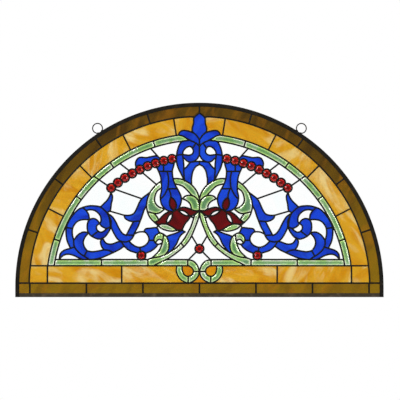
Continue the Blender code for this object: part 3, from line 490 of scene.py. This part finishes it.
def joined(lines):
    """The lines of one half with their ends carried across the line that each one meets."""
    lines = [list(line) for line in lines]
    axis = [Vector((0, 0)), Vector((0, STRAIGHT_SIDE + LEAD_RADIUS))]
    for _ in range(JOIN_ROUNDS):
        for i, line in enumerate(lines):
            others = lines[:i] + lines[i + 1:] + [axis]
            for end, inner in ((0, 1), (-1, -2)):
                place = nearest(line[end], others)
                if place is not None:
                    line[end] = place + (place - line[inner]).normalized() * JOIN_OVERSHOOT
    return lines


def swag_places():
    """Centres of the jewels in the bowed swag of one side."""
    first, last = (drawn(point) for point in SWAG_ENDS)
    middle = (first + last) / 2
    across = Vector((first.y - last.y, last.x - first.x)).normalized()
    if across.y > 0:
        across = -across
    bow = SWAG_RADIUS * SCALE * MILLIMETRES
    half = math.asin((last - first).length / 2 / bow)
    centre = middle + across * bow * math.cos(half)
    start = first - centre
    turn = start.angle_signed(last - centre)
    places = []
    for i in range(SWAG_JEWELS):
        spot = start.copy()
        spot.rotate(Matrix.Rotation(-turn * i / (SWAG_JEWELS - 1), 2))
        places.append(centre + spot)
    return places


def mirrored(line):
    return [Vector((-point.x, point.y)) for point in line]


def cartoon():
    """Every lead centre line of the panel."""
    half = border_lines()
    half += [smooth([drawn(point) for point in points]) for points in CURVES.values()]
    half += [[drawn(point) for point in points] for points in LEADS.values()]
    half.append(swag_places() + [drawn(SWAG_TIE)])
    half = joined(half)
    centre = [[drawn((0, low)), drawn((0, high))] for low, high in CENTRE_LEADS]
    centre += [[drawn((0, DRAWN_TIP)), Vector((0, STRAIGHT_SIDE + LEAD_RADIUS))],
               [Vector((0, FRAME_FACE + FIT_GAP * 2)), Vector((0, BROWN_LEVEL))]]
    return half + [mirrored(line) for line in half] + centre


def circle(centre, radius, sides):
    return [centre + Vector((radius * math.cos(math.tau * i / sides),
                             radius * math.sin(math.tau * i / sides)))
            for i in range(sides)]


def jewel_places():
    side = swag_places() + [drawn(point) for point in SINGLE_JEWELS if point[0]]
    centre = [drawn(point) for point in SINGLE_JEWELS if not point[0]]
    return side + mirrored(side) + centre


def outline(inset):
    """The panel's edge, a distance in from the outside of the frame."""
    radius = ARCH_RADIUS - inset
    points = [polar(radius, 180 * i / ARCH_STEPS) for i in range(ARCH_STEPS + 1)]
    return [Vector((radius, inset))] + points + [Vector((-radius, inset))]


# The spaces between the lines

class Sheet:
    """Points and edges gathered for one flat triangulation."""

    def __init__(self):
        self.points, self.edges = [], []

    def line(self, points, closed=False):
        first = len(self.points)
        self.points += points
        count = len(points)
        self.edges += [(first + i, first + i + 1) for i in range(count - 1)]
        if closed:
            self.edges.append((first + count - 1, first))

    def triangles(self):
        """Corners, triangles and the edges that were drawn."""
        corners, edges, faces, _, edge_ids, _ = geometry.delaunay_2d_cdt(
            self.points, self.edges, [], 0, MERGE, True)
        fixed = {frozenset(edge) for edge, ids in zip(edges, edge_ids) if ids}
        return [Vector(corner) for corner in corners], [list(face) for face in faces], fixed


def inside(point, loops):
    """Whether a point lies inside an odd number of loops."""
    odd = False
    for loop in loops:
        for a, b in zip(loop, loop[1:] + loop[:1]):
            if (a.y > point.y) != (b.y > point.y):
                if point.x < a.x + (point.y - a.y) / (b.y - a.y) * (b.x - a.x):
                    odd = not odd
    return odd


def middle_of(corners, face):
    return sum((corners[i] for i in face), Vector((0, 0))) / len(face)


def area(corners, face):
    a, b, c = (corners[i] for i in face)
    return abs((b - a).cross(c - a)) / 2


def groups(items, links):
    """Sorts linked items into connected groups."""
    leader = {item: item for item in items}

    def top(item):
        while leader[item] != item:
            leader[item] = leader[leader[item]]
            item = leader[item]
        return item

    for a, b in links:
        leader[top(a)] = top(b)
    found = {}
    for item in items:
        found.setdefault(top(item), []).append(item)
    return list(found.values())


def neighbours(faces):
    """Pairs of triangles that share an edge, with that edge."""
    seen, pairs = {}, []
    for i, face in enumerate(faces):
        for a, b in zip(face, face[1:] + face[:1]):
            key = frozenset((a, b))
            if key in seen:
                pairs.append((seen[key], i, key))
            seen[key] = i
    return pairs


def band_of(point):
    """The colour of unmarked glass at a point."""
    reach = math.hypot(point.x, max(0, point.y - STRAIGHT_SIDE))
    if reach > BROWN_RADIUS or point.y < BROWN_LEVEL:
        return "brown_glass"
    if reach > AMBER_RADIUS or point.y < AMBER_LEVEL:
        return "amber_glass"
    if reach > FIELD_RADIUS or point.y < FIELD_LEVEL:
        return "green_bevel_glass"
    return "clear_glass"


def glass_cells(lines):
    """Every piece of glass: its colour, the sheet's corners and its own triangles."""
    sheet = Sheet()
    rim = outline(CHANNEL_FLOOR + FIT_GAP)
    sheet.line(rim, closed=True)
    for line in lines:
        sheet.line(line)
    jewels = jewel_places()
    hole = JEWEL_DIAMETER / 2 + FIT_GAP
    for place in jewels:
        sheet.line(circle(place, hole, RING_SIDES), closed=True)
    corners, faces, fixed = sheet.triangles()
    pairs = neighbours(faces)
    cells = groups(range(len(faces)), [(a, b) for a, b, edge in pairs if edge not in fixed])
    marks = [(spot, name) for name, places in MARKS.items() for place in places
             for spot in (drawn(place), mirrored([drawn(place)])[0])]
    marked = {}
    places = np.array([[corners[i][:] for i in face] for face in faces])
    for mark, name in marks:
        around = (places.min(1) <= mark[:]) & (places.max(1) >= mark[:])
        marked.update({int(i): name for i in np.flatnonzero(around.all(1))
                       if inside(mark, [[corners[k] for k in faces[i]]])})
    colours = {}
    for cell in cells:
        centre = middle_of(corners, faces[max(cell, key=lambda i: area(corners, faces[i]))])
        colour = band_of(centre)
        if not inside(centre, [rim]) or any((centre - place).length < hole for place in jewels):
            colour = None
        else:
            colour = next((marked[i] for i in cell if i in marked), colour)
        for i in cell:
            colours[i] = colour
    fill_slivers(corners, faces, cells, pairs, colours)
    found = []
    for cell in cells:
        if colours[cell[0]]:
            found.append((colours[cell[0]], corners, [faces[i] for i in cell]))
    return found


def fill_slivers(corners, faces, cells, pairs, colours):
    """Gives each cell that is too thin to be glass the colour across its longest edge."""
    home = {i: n for n, cell in enumerate(cells) for i in cell}
    shared = [{} for _ in cells]
    for a, b, edge in pairs:
        p, q = edge
        length = (corners[p] - corners[q]).length
        for one, other in ((a, b), (b, a)):
            if home[one] != home[other]:
                borders = shared[home[one]]
                borders[home[other]] = borders.get(home[other], 0) + length
    for n, cell in enumerate(cells):
        size = sum(area(corners, faces[i]) for i in cell)
        border = sum(shared[n].values())
        if colours[cell[0]] and 2 * size < THINNEST_GLASS * border:
            wide = max(shared[n], key=lambda m: (colours[cells[m][0]] is not None, shared[n][m]))
            for i in cell:
                colours[i] = colours[cells[wide][0]]


def rim_edges(faces):
    """The directed edges round a patch."""
    steps = {(a, b) for face in faces for a, b in zip(face, face[1:] + face[:1])}
    return [(a, b) for a, b in sorted(steps) if (b, a) not in steps]


def edge_distance(spots, walls):
    """How far each spot is from the nearest wall of its piece."""
    near, far = walls[None, :, 0], walls[None, :, 1]
    along = far - near
    share = ((spots[:, None] - near) * along).sum(2) / np.maximum((along ** 2).sum(2), MERGE ** 2)
    feet = near + along * np.clip(share, 0, 1)[:, :, None]
    return np.sqrt(((spots[:, None] - feet) ** 2).sum(2)).min(1)


def within(spots, walls):
    """Which spots lie inside the walls."""
    x, z = spots[:, None, 0], spots[:, None, 1]
    (ax, az), (bx, bz) = walls[None, :, 0].transpose(2, 0, 1), walls[None, :, 1].transpose(2, 0, 1)
    rise = np.where(az == bz, 1, bz - az)
    crossed = ((az > z) != (bz > z)) & (x < ax + (z - az) / rise * (bx - ax))
    return crossed.sum(1) % 2 == 1


def spread(spots, gap):
    """The spots, without those that are nearer than a gap to one already kept."""
    kept = np.empty((0, 2))
    for spot in spots:
        if not len(kept) or ((kept - spot) ** 2).sum(1).min() > gap ** 2:
            kept = np.vstack([kept, spot])
    return kept


# Pieces

def added(name, data):
    """An object of the scene that holds the data."""
    item = bpy.data.objects.new(name, data)
    bpy.context.collection.objects.link(item)
    return item


def finished(name, bm, look, nodes):
    """A mesh piece that stands for CAD nodes and rides with the panel."""
    bmesh.ops.recalc_face_normals(bm, faces=bm.faces)
    mesh = bpy.data.meshes.new(name)
    bm.to_mesh(mesh)
    bm.free()
    mesh.materials.append(look)
    piece = added(name, mesh)
    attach(piece, "root")
    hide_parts(*nodes)


def moved_verts(result):
    return [item for item in result["geom"] if isinstance(item, bmesh.types.BMVert)]


def moved_faces(result, key="geom"):
    return [item for item in result[key] if isinstance(item, bmesh.types.BMFace)]


def slab(bm, corners, faces, turn, shift):
    """One flat piece of glass, with its own streak direction and a slight tilt."""
    back = GLASS_THICKNESS / 2
    used = sorted({i for face in faces for i in face})
    made = {i: bm.verts.new((corners[i].x, back, corners[i].y - ORIGIN_LEVEL)) for i in used}
    flat = [bm.faces.new([made[i] for i in face]) for face in faces]
    front = moved_verts(bmesh.ops.extrude_face_region(bm, geom=flat))
    middle = sum((vert.co for vert in front), Vector()) / len(front)
    tilt = Vector((math.cos(turn * 2), 0, math.sin(turn * 2))) * GLASS_TILT / TILT_SPAN
    for vert in front:
        lean = max(-GLASS_TILT, min(GLASS_TILT, (vert.co - middle).dot(tilt)))
        vert.co.y -= GLASS_THICKNESS + lean
    streak = bm.loops.layers.uv["streak"]
    for face in {face for vert in front for face in vert.link_faces} | set(flat):
        for loop in face.loops:
            x, z = loop.vert.co.x, loop.vert.co.z
            loop[streak].uv = (x * math.cos(turn) + z * math.sin(turn) + shift,
                               z * math.cos(turn) - x * math.sin(turn) - shift)
    return front


def bevel_points(rim_walls, walls):
    """Points inside a green piece: a row along its bevel and a grid over the rest."""
    inner = []
    for a, b in rim_walls:
        steps = max(1, round((b - a).length / BEVEL_STEP))
        along = (b - a).normalized()
        across = Vector((-along.y, along.x)) * BEVEL_REACH
        inner += [(a + (b - a) * (i + 0.5) / steps + across)[:] for i in range(steps)]
    low, high = walls.min((0, 1)), walls.max((0, 1))
    columns, rows = ((high - low) / BEVEL_STEP).astype(int) + 1
    inner += [(low[0] + (i + 0.5 + j % 2 / 2) * BEVEL_STEP, low[1] + (j + 0.5) * BEVEL_STEP)
              for i in range(columns) for j in range(rows)]
    inner = np.array(inner)
    inner = inner[within(inner, walls)]
    if len(inner):
        inner = inner[edge_distance(inner, walls) > BEVEL_REACH * CLEAR_SHARE]
    return [Vector(spot) for spot in spread(inner, BEVEL_STEP * SPREAD_SHARE)]


def bevelled(bm, corners, faces, turn, shift):
    """One green piece with a ground bevel that slopes up from its edge."""
    rim_walls = [(corners[a], corners[b]) for a, b in rim_edges(faces)]
    walls = np.array([[a[:], b[:]] for a, b in rim_walls])
    sheet = Sheet()
    for a, b in rim_walls:
        sheet.line([a, b])
    sheet.points += bevel_points(rim_walls, walls)
    spots, tiles, _ = sheet.triangles()
    middles = np.array([middle_of(spots, tile)[:] for tile in tiles])
    tiles = [tile for tile, kept in zip(tiles, within(middles, walls)) if kept]
    front = slab(bm, spots, tiles, turn, shift)
    places = np.array([(vert.co.x, vert.co.z + ORIGIN_LEVEL) for vert in front])
    rim = bm.verts.layers.float["rim"]
    for vert, away in zip(front, edge_distance(places, walls)):
        vert.co.y = -BEVEL_EDGE - BEVEL_RISE * min(1, float(away) / BEVEL_REACH)
        vert[rim] = min(1, float(away) / CORE_REACH)


def glaze(lines, looks, names):
    """All the glass: each colour is one piece of the scene, each cell a closed slab in it."""
    rng = random.Random(7)
    sheets = {}
    for colour, corners, faces in glass_cells(lines):
        if colour not in sheets:
            sheets[colour] = bmesh.new()
            sheets[colour].loops.layers.uv.new("streak")
            sheets[colour].verts.layers.float.new("rim")
        turn, shift = rng.uniform(0, math.pi), rng.uniform(0, 9)
        made = bevelled if colour == "green_bevel_glass" else slab
        made(sheets[colour], corners, faces, turn, shift)
    for colour, bm in sorted(sheets.items()):
        nodes = [name for name in names if name.startswith(colour)]
        finished(f"{colour}_pieces", bm, looks[colour], nodes)


def tubes(lines, width, rounding):
    """Round tubes along open and closed lines."""
    curve = bpy.data.curves.new("tubes", "CURVE")
    curve.dimensions = "3D"
    curve.bevel_depth = width / 2
    curve.bevel_resolution = rounding
    curve.use_fill_caps = True
    for line, closed in lines:
        spline = curve.splines.new("POLY")
        spline.points.add(len(line) - 1)
        for spot, point in zip(spline.points, line):
            spot.co = (point.x, 0, point.y - ORIGIN_LEVEL, 1)
        spline.use_cyclic_u = closed
    holder = added("tubes", curve)
    bpy.context.view_layer.update()
    bm = bmesh.new()
    bm.from_mesh(holder.to_mesh())
    bpy.data.objects.remove(holder)
    return bm


def add_solder(bm, spots, radius, around, stacks):
    """A round lump of solder at each spot, and smooth shading over the whole piece."""
    ball = bmesh.new()
    bmesh.ops.create_uvsphere(ball, u_segments=around, v_segments=stacks, radius=radius)
    lump = bpy.data.meshes.new("lump")
    ball.to_mesh(lump)
    ball.free()
    for spot in spots:
        bm.from_mesh(lump)
        bm.verts.ensure_lookup_table()
        bmesh.ops.translate(bm, verts=bm.verts[-len(lump.vertices):],
                            vec=(spot.x, 0, spot.y - ORIGIN_LEVEL))
    bpy.data.meshes.remove(lump)
    for face in bm.faces:
        face.smooth = True


def lead_net(lines, look):
    """Rounded leads along every line, with a fuller lump of solder at each joint."""
    rings = [circle(place, JEWEL_DIAMETER / 2 + LEAD_WIDTH * RING_SHARE, RING_SIDES)
             for place in jewel_places()]
    bm = tubes([(line, False) for line in lines] + [(ring, True) for ring in rings],
               LEAD_WIDTH, LEAD_ROUNDING)
    ends = []
    for line in lines:
        for end in (line[0], line[-1]):
            if all((end - other).length > LEAD_WIDTH for other in ends):
                ends.append(end)
    add_solder(bm, ends, JOINT_WIDTH / 2, 10, 6)
    bmesh.ops.scale(bm, verts=bm.verts, vec=(1, LEAD_DEPTH / LEAD_WIDTH, 1))
    finished("lead_lines", bm, look, ["lead_net"])


def channel_profile(bm, x, z):
    """The frame's U section with eased corners, lying flat at one height."""
    deep = FRAME_DEPTH / 2
    lip = deep - CHANNEL_WALL
    points = [(0, -deep), (0, deep), (FRAME_FACE, deep), (FRAME_FACE, lip), (CHANNEL_FLOOR, lip),
              (CHANNEL_FLOOR, -lip), (FRAME_FACE, -lip), (FRAME_FACE, -deep)]
    verts = [bm.verts.new((x - inward, y, z)) for inward, y in points]
    bm.faces.new(verts)
    bmesh.ops.bevel(bm, geom=verts, offset=CHANNEL_ROUNDING, segments=3, profile=0.5,
                    affect="VERTICES", material=-1, offset_type="OFFSET")
    return max(bm.faces, key=lambda face: len(face.verts))


def arch_channel(look):
    bm = bmesh.new()
    start = channel_profile(bm, ARCH_RADIUS, -ORIGIN_LEVEL)
    rise = Vector((0, 0, STRAIGHT_SIDE))
    up = bmesh.ops.extrude_face_region(bm, geom=[start])
    bmesh.ops.translate(bm, verts=moved_verts(up), vec=rise)
    turned = bmesh.ops.spin(bm, geom=moved_faces(up), cent=(0, 0, STRAIGHT_SIDE - ORIGIN_LEVEL),
                            axis=(0, -1, 0), angle=math.pi, steps=ARCH_STEPS)
    last = moved_faces(turned, "geom_last")
    down = bmesh.ops.extrude_face_region(bm, geom=last)
    bmesh.ops.translate(bm, verts=moved_verts(down), vec=-rise)
    bmesh.ops.delete(bm, geom=moved_faces(up) + last, context="FACES_ONLY")
    finished("arch_channel", bm, look, ["frame_arch"])


def sill_channel(look):
    bm = bmesh.new()
    face = channel_profile(bm, 0, 0)
    half = ARCH_RADIUS - FRAME_FACE - FIT_GAP
    turn = Matrix.Rotation(math.pi / 2, 3, "Y")
    bmesh.ops.rotate(bm, verts=bm.verts, cent=(0, 0, 0), matrix=turn)
    bmesh.ops.translate(bm, verts=bm.verts, vec=(-half, 0, -ORIGIN_LEVEL))
    along = bmesh.ops.extrude_face_region(bm, geom=[face])
    bmesh.ops.translate(bm, verts=moved_verts(along), vec=(half * 2, 0, 0))
    finished("sill_channel", bm, look, ["frame_sill"])


def wire_loop(side, look, hand):
    """A bent wire loop with its two feet soldered to the arch."""
    seat = ARCH_RADIUS - LOOP_WIRE * LOOP_SINK
    foot = math.acos((LOOP_REACH ** 2 + LOOP_RADIUS ** 2 - seat ** 2)
                     / (2 * LOOP_REACH * LOOP_RADIUS))
    tilt = math.acos(LOOP_OFFSET / LOOP_REACH)
    line = []
    for i in range(LOOP_STEPS + 1):
        angle = tilt + math.pi + foot + (math.tau - 2 * foot) * i / LOOP_STEPS
        line.append(Vector((side * (LOOP_OFFSET + LOOP_RADIUS * math.cos(angle)),
                            LOOP_LEVEL + LOOP_RADIUS * math.sin(angle))))
    bm = tubes([(line, False)], LOOP_WIRE, LOOP_ROUNDING)
    add_solder(bm, (line[0], line[-1]), LOOP_WIRE * LOOP_SOLDER, 16, 10)
    finished(f"wire_loop_{hand}", bm, look, [f"loop_{hand}"])


def jewel(bm, place):
    """A pressed jewel: a girdle with a facetted crown and table in front."""
    radius = JEWEL_DIAMETER / 2
    made = bmesh.ops.create_circle(bm, cap_ends=True, segments=JEWEL_FACETS, radius=radius)
    girdle = made["verts"]
    table = girdle[0].link_faces[0]
    bmesh.ops.rotate(bm, verts=girdle, cent=(0, 0, 0), matrix=Matrix.Rotation(math.pi / 2, 3, "X"))
    bmesh.ops.translate(bm, verts=girdle, vec=(place.x, JEWEL_BACK, place.y - ORIGIN_LEVEL))
    rim = bm.verts.layers.float["rim"]
    base = table
    for y, share, turn in JEWEL_CROWN:
        pushed = bmesh.ops.extrude_face_region(bm, geom=[table], use_keep_orig=table is base)
        verts = moved_verts(pushed)
        table = moved_faces(pushed)[0]
        flat = sum((vert.co for vert in verts), Vector()) / len(verts)
        for vert in verts:
            out = (vert.co - flat).normalized() * radius * share
            out.rotate(Matrix.Rotation(math.pi / JEWEL_FACETS * turn, 3, "Y"))
            vert.co = Vector((place.x, y, place.y - ORIGIN_LEVEL)) + Vector((out.x, 0, out.z))
            vert[rim] = share
    for vert in girdle:
        vert[rim] = 1.0


def all_jewels(look, nodes):
    bm = bmesh.new()
    bm.verts.layers.float.new("rim")
    for place in jewel_places():
        jewel(bm, place)
    bmesh.ops.triangulate(bm, faces=bm.faces)
    finished("pressed_jewels", bm, look, nodes)


# Finishes

def srgb(red, green, blue):
    """A screen colour in the shader's linear values."""
    def linear(value):
        value /= 255
        return value / 12.92 if value <= 0.04045 else ((value + 0.055) / 1.055) ** 2.4
    return linear(red), linear(green), linear(blue), 1.0


def grey(value):
    return value, value, value, 1.0


def feed(tree, value, socket):
    """Links an output to a socket, or sets the socket's own value."""
    if isinstance(value, bpy.types.NodeSocket):
        tree.links.new(value, socket)
    else:
        socket.default_value = value


def node(tree, kind, **values):
    """A shader node with its sockets fed; an underscore stands for a space in a label."""
    made = tree.nodes.new(f"ShaderNode{kind}")
    for label, value in values.items():
        feed(tree, value, made.inputs[label.replace("_", " ")])
    return made


def noise(tree, vector, scale, detail, distortion=0.0):
    return node(tree, "TexNoise", Vector=vector, Scale=scale, Detail=detail,
                Distortion=distortion).outputs["Fac"]


def ramp(tree, value, low, high):
    made = node(tree, "MapRange", Value=value, From_Min=low, From_Max=high)
    made.interpolation_type = "SMOOTHSTEP"
    return made.outputs["Result"]


def mixed(tree, factor, first, second):
    made = node(tree, "Mix")
    made.data_type = "RGBA"
    for value, label in ((factor, "Factor"), (first, "A"), (second, "B")):
        feed(tree, value, made.inputs[label])
    return made.outputs["Result"]


def product(tree, first, second):
    made = node(tree, "Math")
    made.operation = "MULTIPLY"
    feed(tree, first, made.inputs[0])
    feed(tree, second, made.inputs[1])
    return made.outputs[0]


def object_place(tree):
    return node(tree, "TexCoord").outputs["Object"]


def streak_place(tree):
    made = node(tree, "UVMap")
    made.uv_map = "streak"
    return made.outputs["UV"]


def rim_share(tree):
    made = node(tree, "Attribute")
    made.attribute_name = "rim"
    return made.outputs["Fac"]


def new_group(name, colours, amount, outputs):
    """A node group that takes a place, colours and one amount, and how its ends are reached."""
    group = bpy.data.node_groups.new(name, "ShaderNodeTree")
    group.interface.new_socket("Vector", in_out="INPUT", socket_type="NodeSocketVector")
    for label in colours:
        group.interface.new_socket(label, in_out="INPUT", socket_type="NodeSocketColor")
    share = group.interface.new_socket(amount, in_out="INPUT", socket_type="NodeSocketFloat")
    share.default_value = 0.5
    for label in outputs:
        kind = "NodeSocketColor" if label == "Color" else "NodeSocketFloat"
        group.interface.new_socket(label, in_out="OUTPUT", socket_type=kind)
    given = group.nodes.new("NodeGroupInput").outputs
    return group, given, group.nodes.new("NodeGroupOutput").inputs


def streaky_glass_group():
    """Colour of rolled glass: two streak colours drawn out along a base, and its ripple."""
    group, given, out = new_group("streaky_glass", ["Base", "Streak", "Deep"], "Streak Amount",
                                  ["Color", "Height"])
    along = node(group, "Mapping", Vector=given["Vector"], Scale=STREAK_STRETCH).outputs["Vector"]
    deep = ramp(group, noise(group, along, 11, 3, 0.8), 0.40, 0.70)
    pale = ramp(group, noise(group, along, 8, 5, 1.6), 0.46, 0.74)
    base = mixed(group, deep, given["Base"], given["Deep"])
    feed(group, mixed(group, product(group, pale, given["Streak Amount"]), base, given["Streak"]),
         out["Color"])
    feed(group, noise(group, along, 45, 2, 0.3), out["Height"])
    return group


def worn_metal_group():
    """Patina that is rubbed brighter in patches, with fine pitting."""
    group, given, out = new_group("worn_patina", ["Patina", "Rubbed"], "Wear",
                                  ["Color", "Roughness", "Height"])
    place = given["Vector"]
    patches = ramp(group, noise(group, place, 60, 4, 0.4), 0.45, 0.75)
    feed(group, mixed(group, product(group, patches, given["Wear"]), given["Patina"],
                      given["Rubbed"]), out["Color"])
    low, high = METAL_ROUGHNESS
    rough = node(group, "MapRange", Value=noise(group, place, 150, 2), To_Min=low, To_Max=high)
    feed(group, rough.outputs["Result"], out["Roughness"])
    feed(group, noise(group, place, 320, 3), out["Height"])
    return group


def new_finish(name, **values):
    """A material, its tree and its shader, with the shader's plain values set."""
    look = bpy.data.materials.new(name)
    look.use_nodes = True
    shader = look.node_tree.nodes["Principled BSDF"]
    for label, value in values.items():
        shader.inputs[label.replace("_", " ")].default_value = value
    return look, look.node_tree, shader


def placed(tree, group, shader, bump_strength, bump_depth, **values):
    """The group laid in a material, with its height as bump."""
    made = node(tree, "Group")
    made.node_tree = group
    for label, value in values.items():
        feed(tree, value, made.inputs[label.replace("_", " ")])
    raised = node(tree, "Bump", Height=made.outputs["Height"], Strength=bump_strength,
                  Distance=bump_depth)
    feed(tree, made.outputs["Color"], shader.inputs["Base Color"])
    feed(tree, raised.outputs["Normal"], shader.inputs["Normal"])
    return made


def metal_finish(name, group, patina, rubbed, wear, metallic):
    look, tree, shader = new_finish(name, Metallic=metallic, Specular_IOR_Level=METAL_SPECULAR)
    made = placed(tree, group, shader, 0.25, 0.0004, Vector=object_place(tree),
                  Patina=srgb(*patina), Rubbed=srgb(*rubbed), Wear=wear)
    feed(tree, made.outputs["Roughness"], shader.inputs["Roughness"])
    return look


def glass_finish(name, group, base, streak, deep, amount, transmission, roughness):
    look, tree, shader = new_finish(name, Roughness=roughness, Transmission_Weight=transmission,
                                    Specular_IOR_Level=GLASS_SPECULAR)
    made = placed(tree, group, shader, 0.35, 0.0006, Vector=streak_place(tree),
                  Base=srgb(*base), Streak=srgb(*streak), Deep=srgb(*deep), Streak_Amount=amount)
    return look, tree, shader, made


def darken_upwards(tree, made):
    """Brown glass that is lighter at the sill than at the crown."""
    height = node(tree, "SeparateXYZ", Vector=object_place(tree)).outputs["Z"]
    low, high = TINT_LEVELS
    share = ramp(tree, height, low - ORIGIN_LEVEL, high - ORIGIN_LEVEL)
    for label, (below, above) in BROWN_TINTS.items():
        feed(tree, mixed(tree, share, srgb(*below), srgb(*above)), made.inputs[label])


def shade_bevels(tree, shader, made):
    """Green glass with a painted highlight along its bevelled edge, flecked with painted
    near-white glints, and a body that darkens towards the core.
    """
    shader.inputs["Specular IOR Level"].default_value = BEVEL_SPECULAR
    edge = ramp(tree, rim_share(tree), *BEVEL_HIGHLIGHT_SHARES)
    core = ramp(tree, rim_share(tree), *CORE_SHARES)
    body = mixed(tree, core, made.outputs["Color"], srgb(62, 112, 70))
    # painted highlight on the bevel: pale green, with noise patches of painted near-white glints
    pale = mixed(tree, ramp(tree, noise(tree, object_place(tree), 34, 2, 0.5), 0.42, 0.62),
                 srgb(202, 240, 146), srgb(246, 253, 228))
    feed(tree, mixed(tree, edge, pale, body), shader.inputs["Base Color"])


def jewel_finish():
    """Red pressed glass with painted shade that darkens the middle of its table."""
    look, tree, shader = new_finish("jewel_glass", Roughness=0.04, Transmission_Weight=0.3,
                                    Specular_IOR_Level=JEWEL_SPECULAR)
    # painted shade: the table's middle goes to a near-black red, while the rim keeps the brighter
    # red
    core = ramp(tree, rim_share(tree), 0.36, 0.74)
    warm = mixed(tree, ramp(tree, noise(tree, object_place(tree), 90, 2), 0.4, 0.7),
                 srgb(206, 4, 8), srgb(234, 44, 10))
    feed(tree, mixed(tree, core, srgb(84, 0, 2), warm), shader.inputs["Base Color"])
    return look


def finishes():
    streaky = streaky_glass_group()
    worn = worn_metal_group()
    looks = {name: metal_finish(title, worn, *values)
             for name, (title, *values) in METALS.items()}
    for name, values in GLASSES.items():
        looks[name], tree, shader, made = glass_finish(name, streaky, *values)
        if name == "brown_glass":
            darken_upwards(tree, made)
        if name == "green_bevel_glass":
            shade_bevels(tree, shader, made)
    looks["jewel_glass"] = jewel_finish()
    return looks


# Camera, light and floor

def stage():
    bm = bmesh.new()
    bmesh.ops.create_grid(bm, x_segments=8, y_segments=8, size=FLOOR_SIZE / 2)
    bmesh.ops.translate(bm, verts=bm.verts, vec=(0, 0, FLOOR_LEVEL))
    mesh = bpy.data.meshes.new("studio_floor")
    bm.to_mesh(mesh)
    bm.free()
    look, tree, shader = new_finish("studio_floor", Roughness=0.7)
    tone = mixed(tree, noise(tree, object_place(tree), 2, 2), srgb(235, 235, 235),
                 srgb(243, 243, 242))
    feed(tree, tone, shader.inputs["Base Color"])
    mesh.materials.append(look)
    floor = added("studio_floor", mesh)
    floor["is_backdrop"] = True


def soft_light(name, place, size, power):
    light = bpy.data.lights.new(name, "AREA")
    light.shape = "RECTANGLE"
    light.size = size
    light.size_y = size * LIGHT_SHAPE
    light.energy = power
    lamp = added(name, light)
    lamp.location = place
    way = Vector(LIGHT_TARGET) - Vector(place)
    lamp.rotation_euler = way.to_track_quat("-Z", "Y").to_euler()


def studio():
    """White as the camera sees it; as light, bright behind the panel and dim before it."""
    scene = bpy.context.scene
    world = bpy.data.worlds.new("white_studio")
    world.use_nodes = True
    tree = world.node_tree
    way = node(tree, "TexCoord").outputs["Generated"]
    behind = ramp(tree, node(tree, "SeparateXYZ", Vector=way).outputs["Y"], -0.6, 0.3)
    around = mixed(tree, behind, grey(FRONT_LIGHT), grey(BACK_LIGHT))
    seen = node(tree, "LightPath").outputs["Is Camera Ray"]
    feed(tree, mixed(tree, seen, around, grey(1.0)), tree.nodes["Background"].inputs["Color"])
    scene.world = world
    scene.view_settings.view_transform = "Standard"
    for values in LIGHTS:
        soft_light(*values)
    camera = bpy.data.cameras.new("camera")
    camera.sensor_width = SENSOR_WIDTH
    camera.lens = SENSOR_WIDTH * CAMERA_DISTANCE / VIEW_WIDTH
    camera.clip_end = 50
    seat = added("camera", camera)
    seat.location = (VIEW_MIDDLE, -CAMERA_DISTANCE, VIEW_HEIGHT - ORIGIN_LEVEL)
    seat.rotation_euler = (math.pi / 2, 0, 0)
    scene.camera = seat


def main():
    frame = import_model()
    cad_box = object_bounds()
    names = sorted(frame["nodes"])
    looks = finishes()
    lines = cartoon()
    glaze(lines, looks, names)
    lead_net(lines, looks["lead"])
    arch_channel(looks["frame"])
    sill_channel(looks["sill"])
    wire_loop(1, looks["frame"], "right")
    wire_loop(-1, looks["frame"], "left")
    all_jewels(looks["jewel_glass"], [name for name in names if name.startswith("jewel")])
    stage()
    studio()
    return cad_box


cad_box = main()
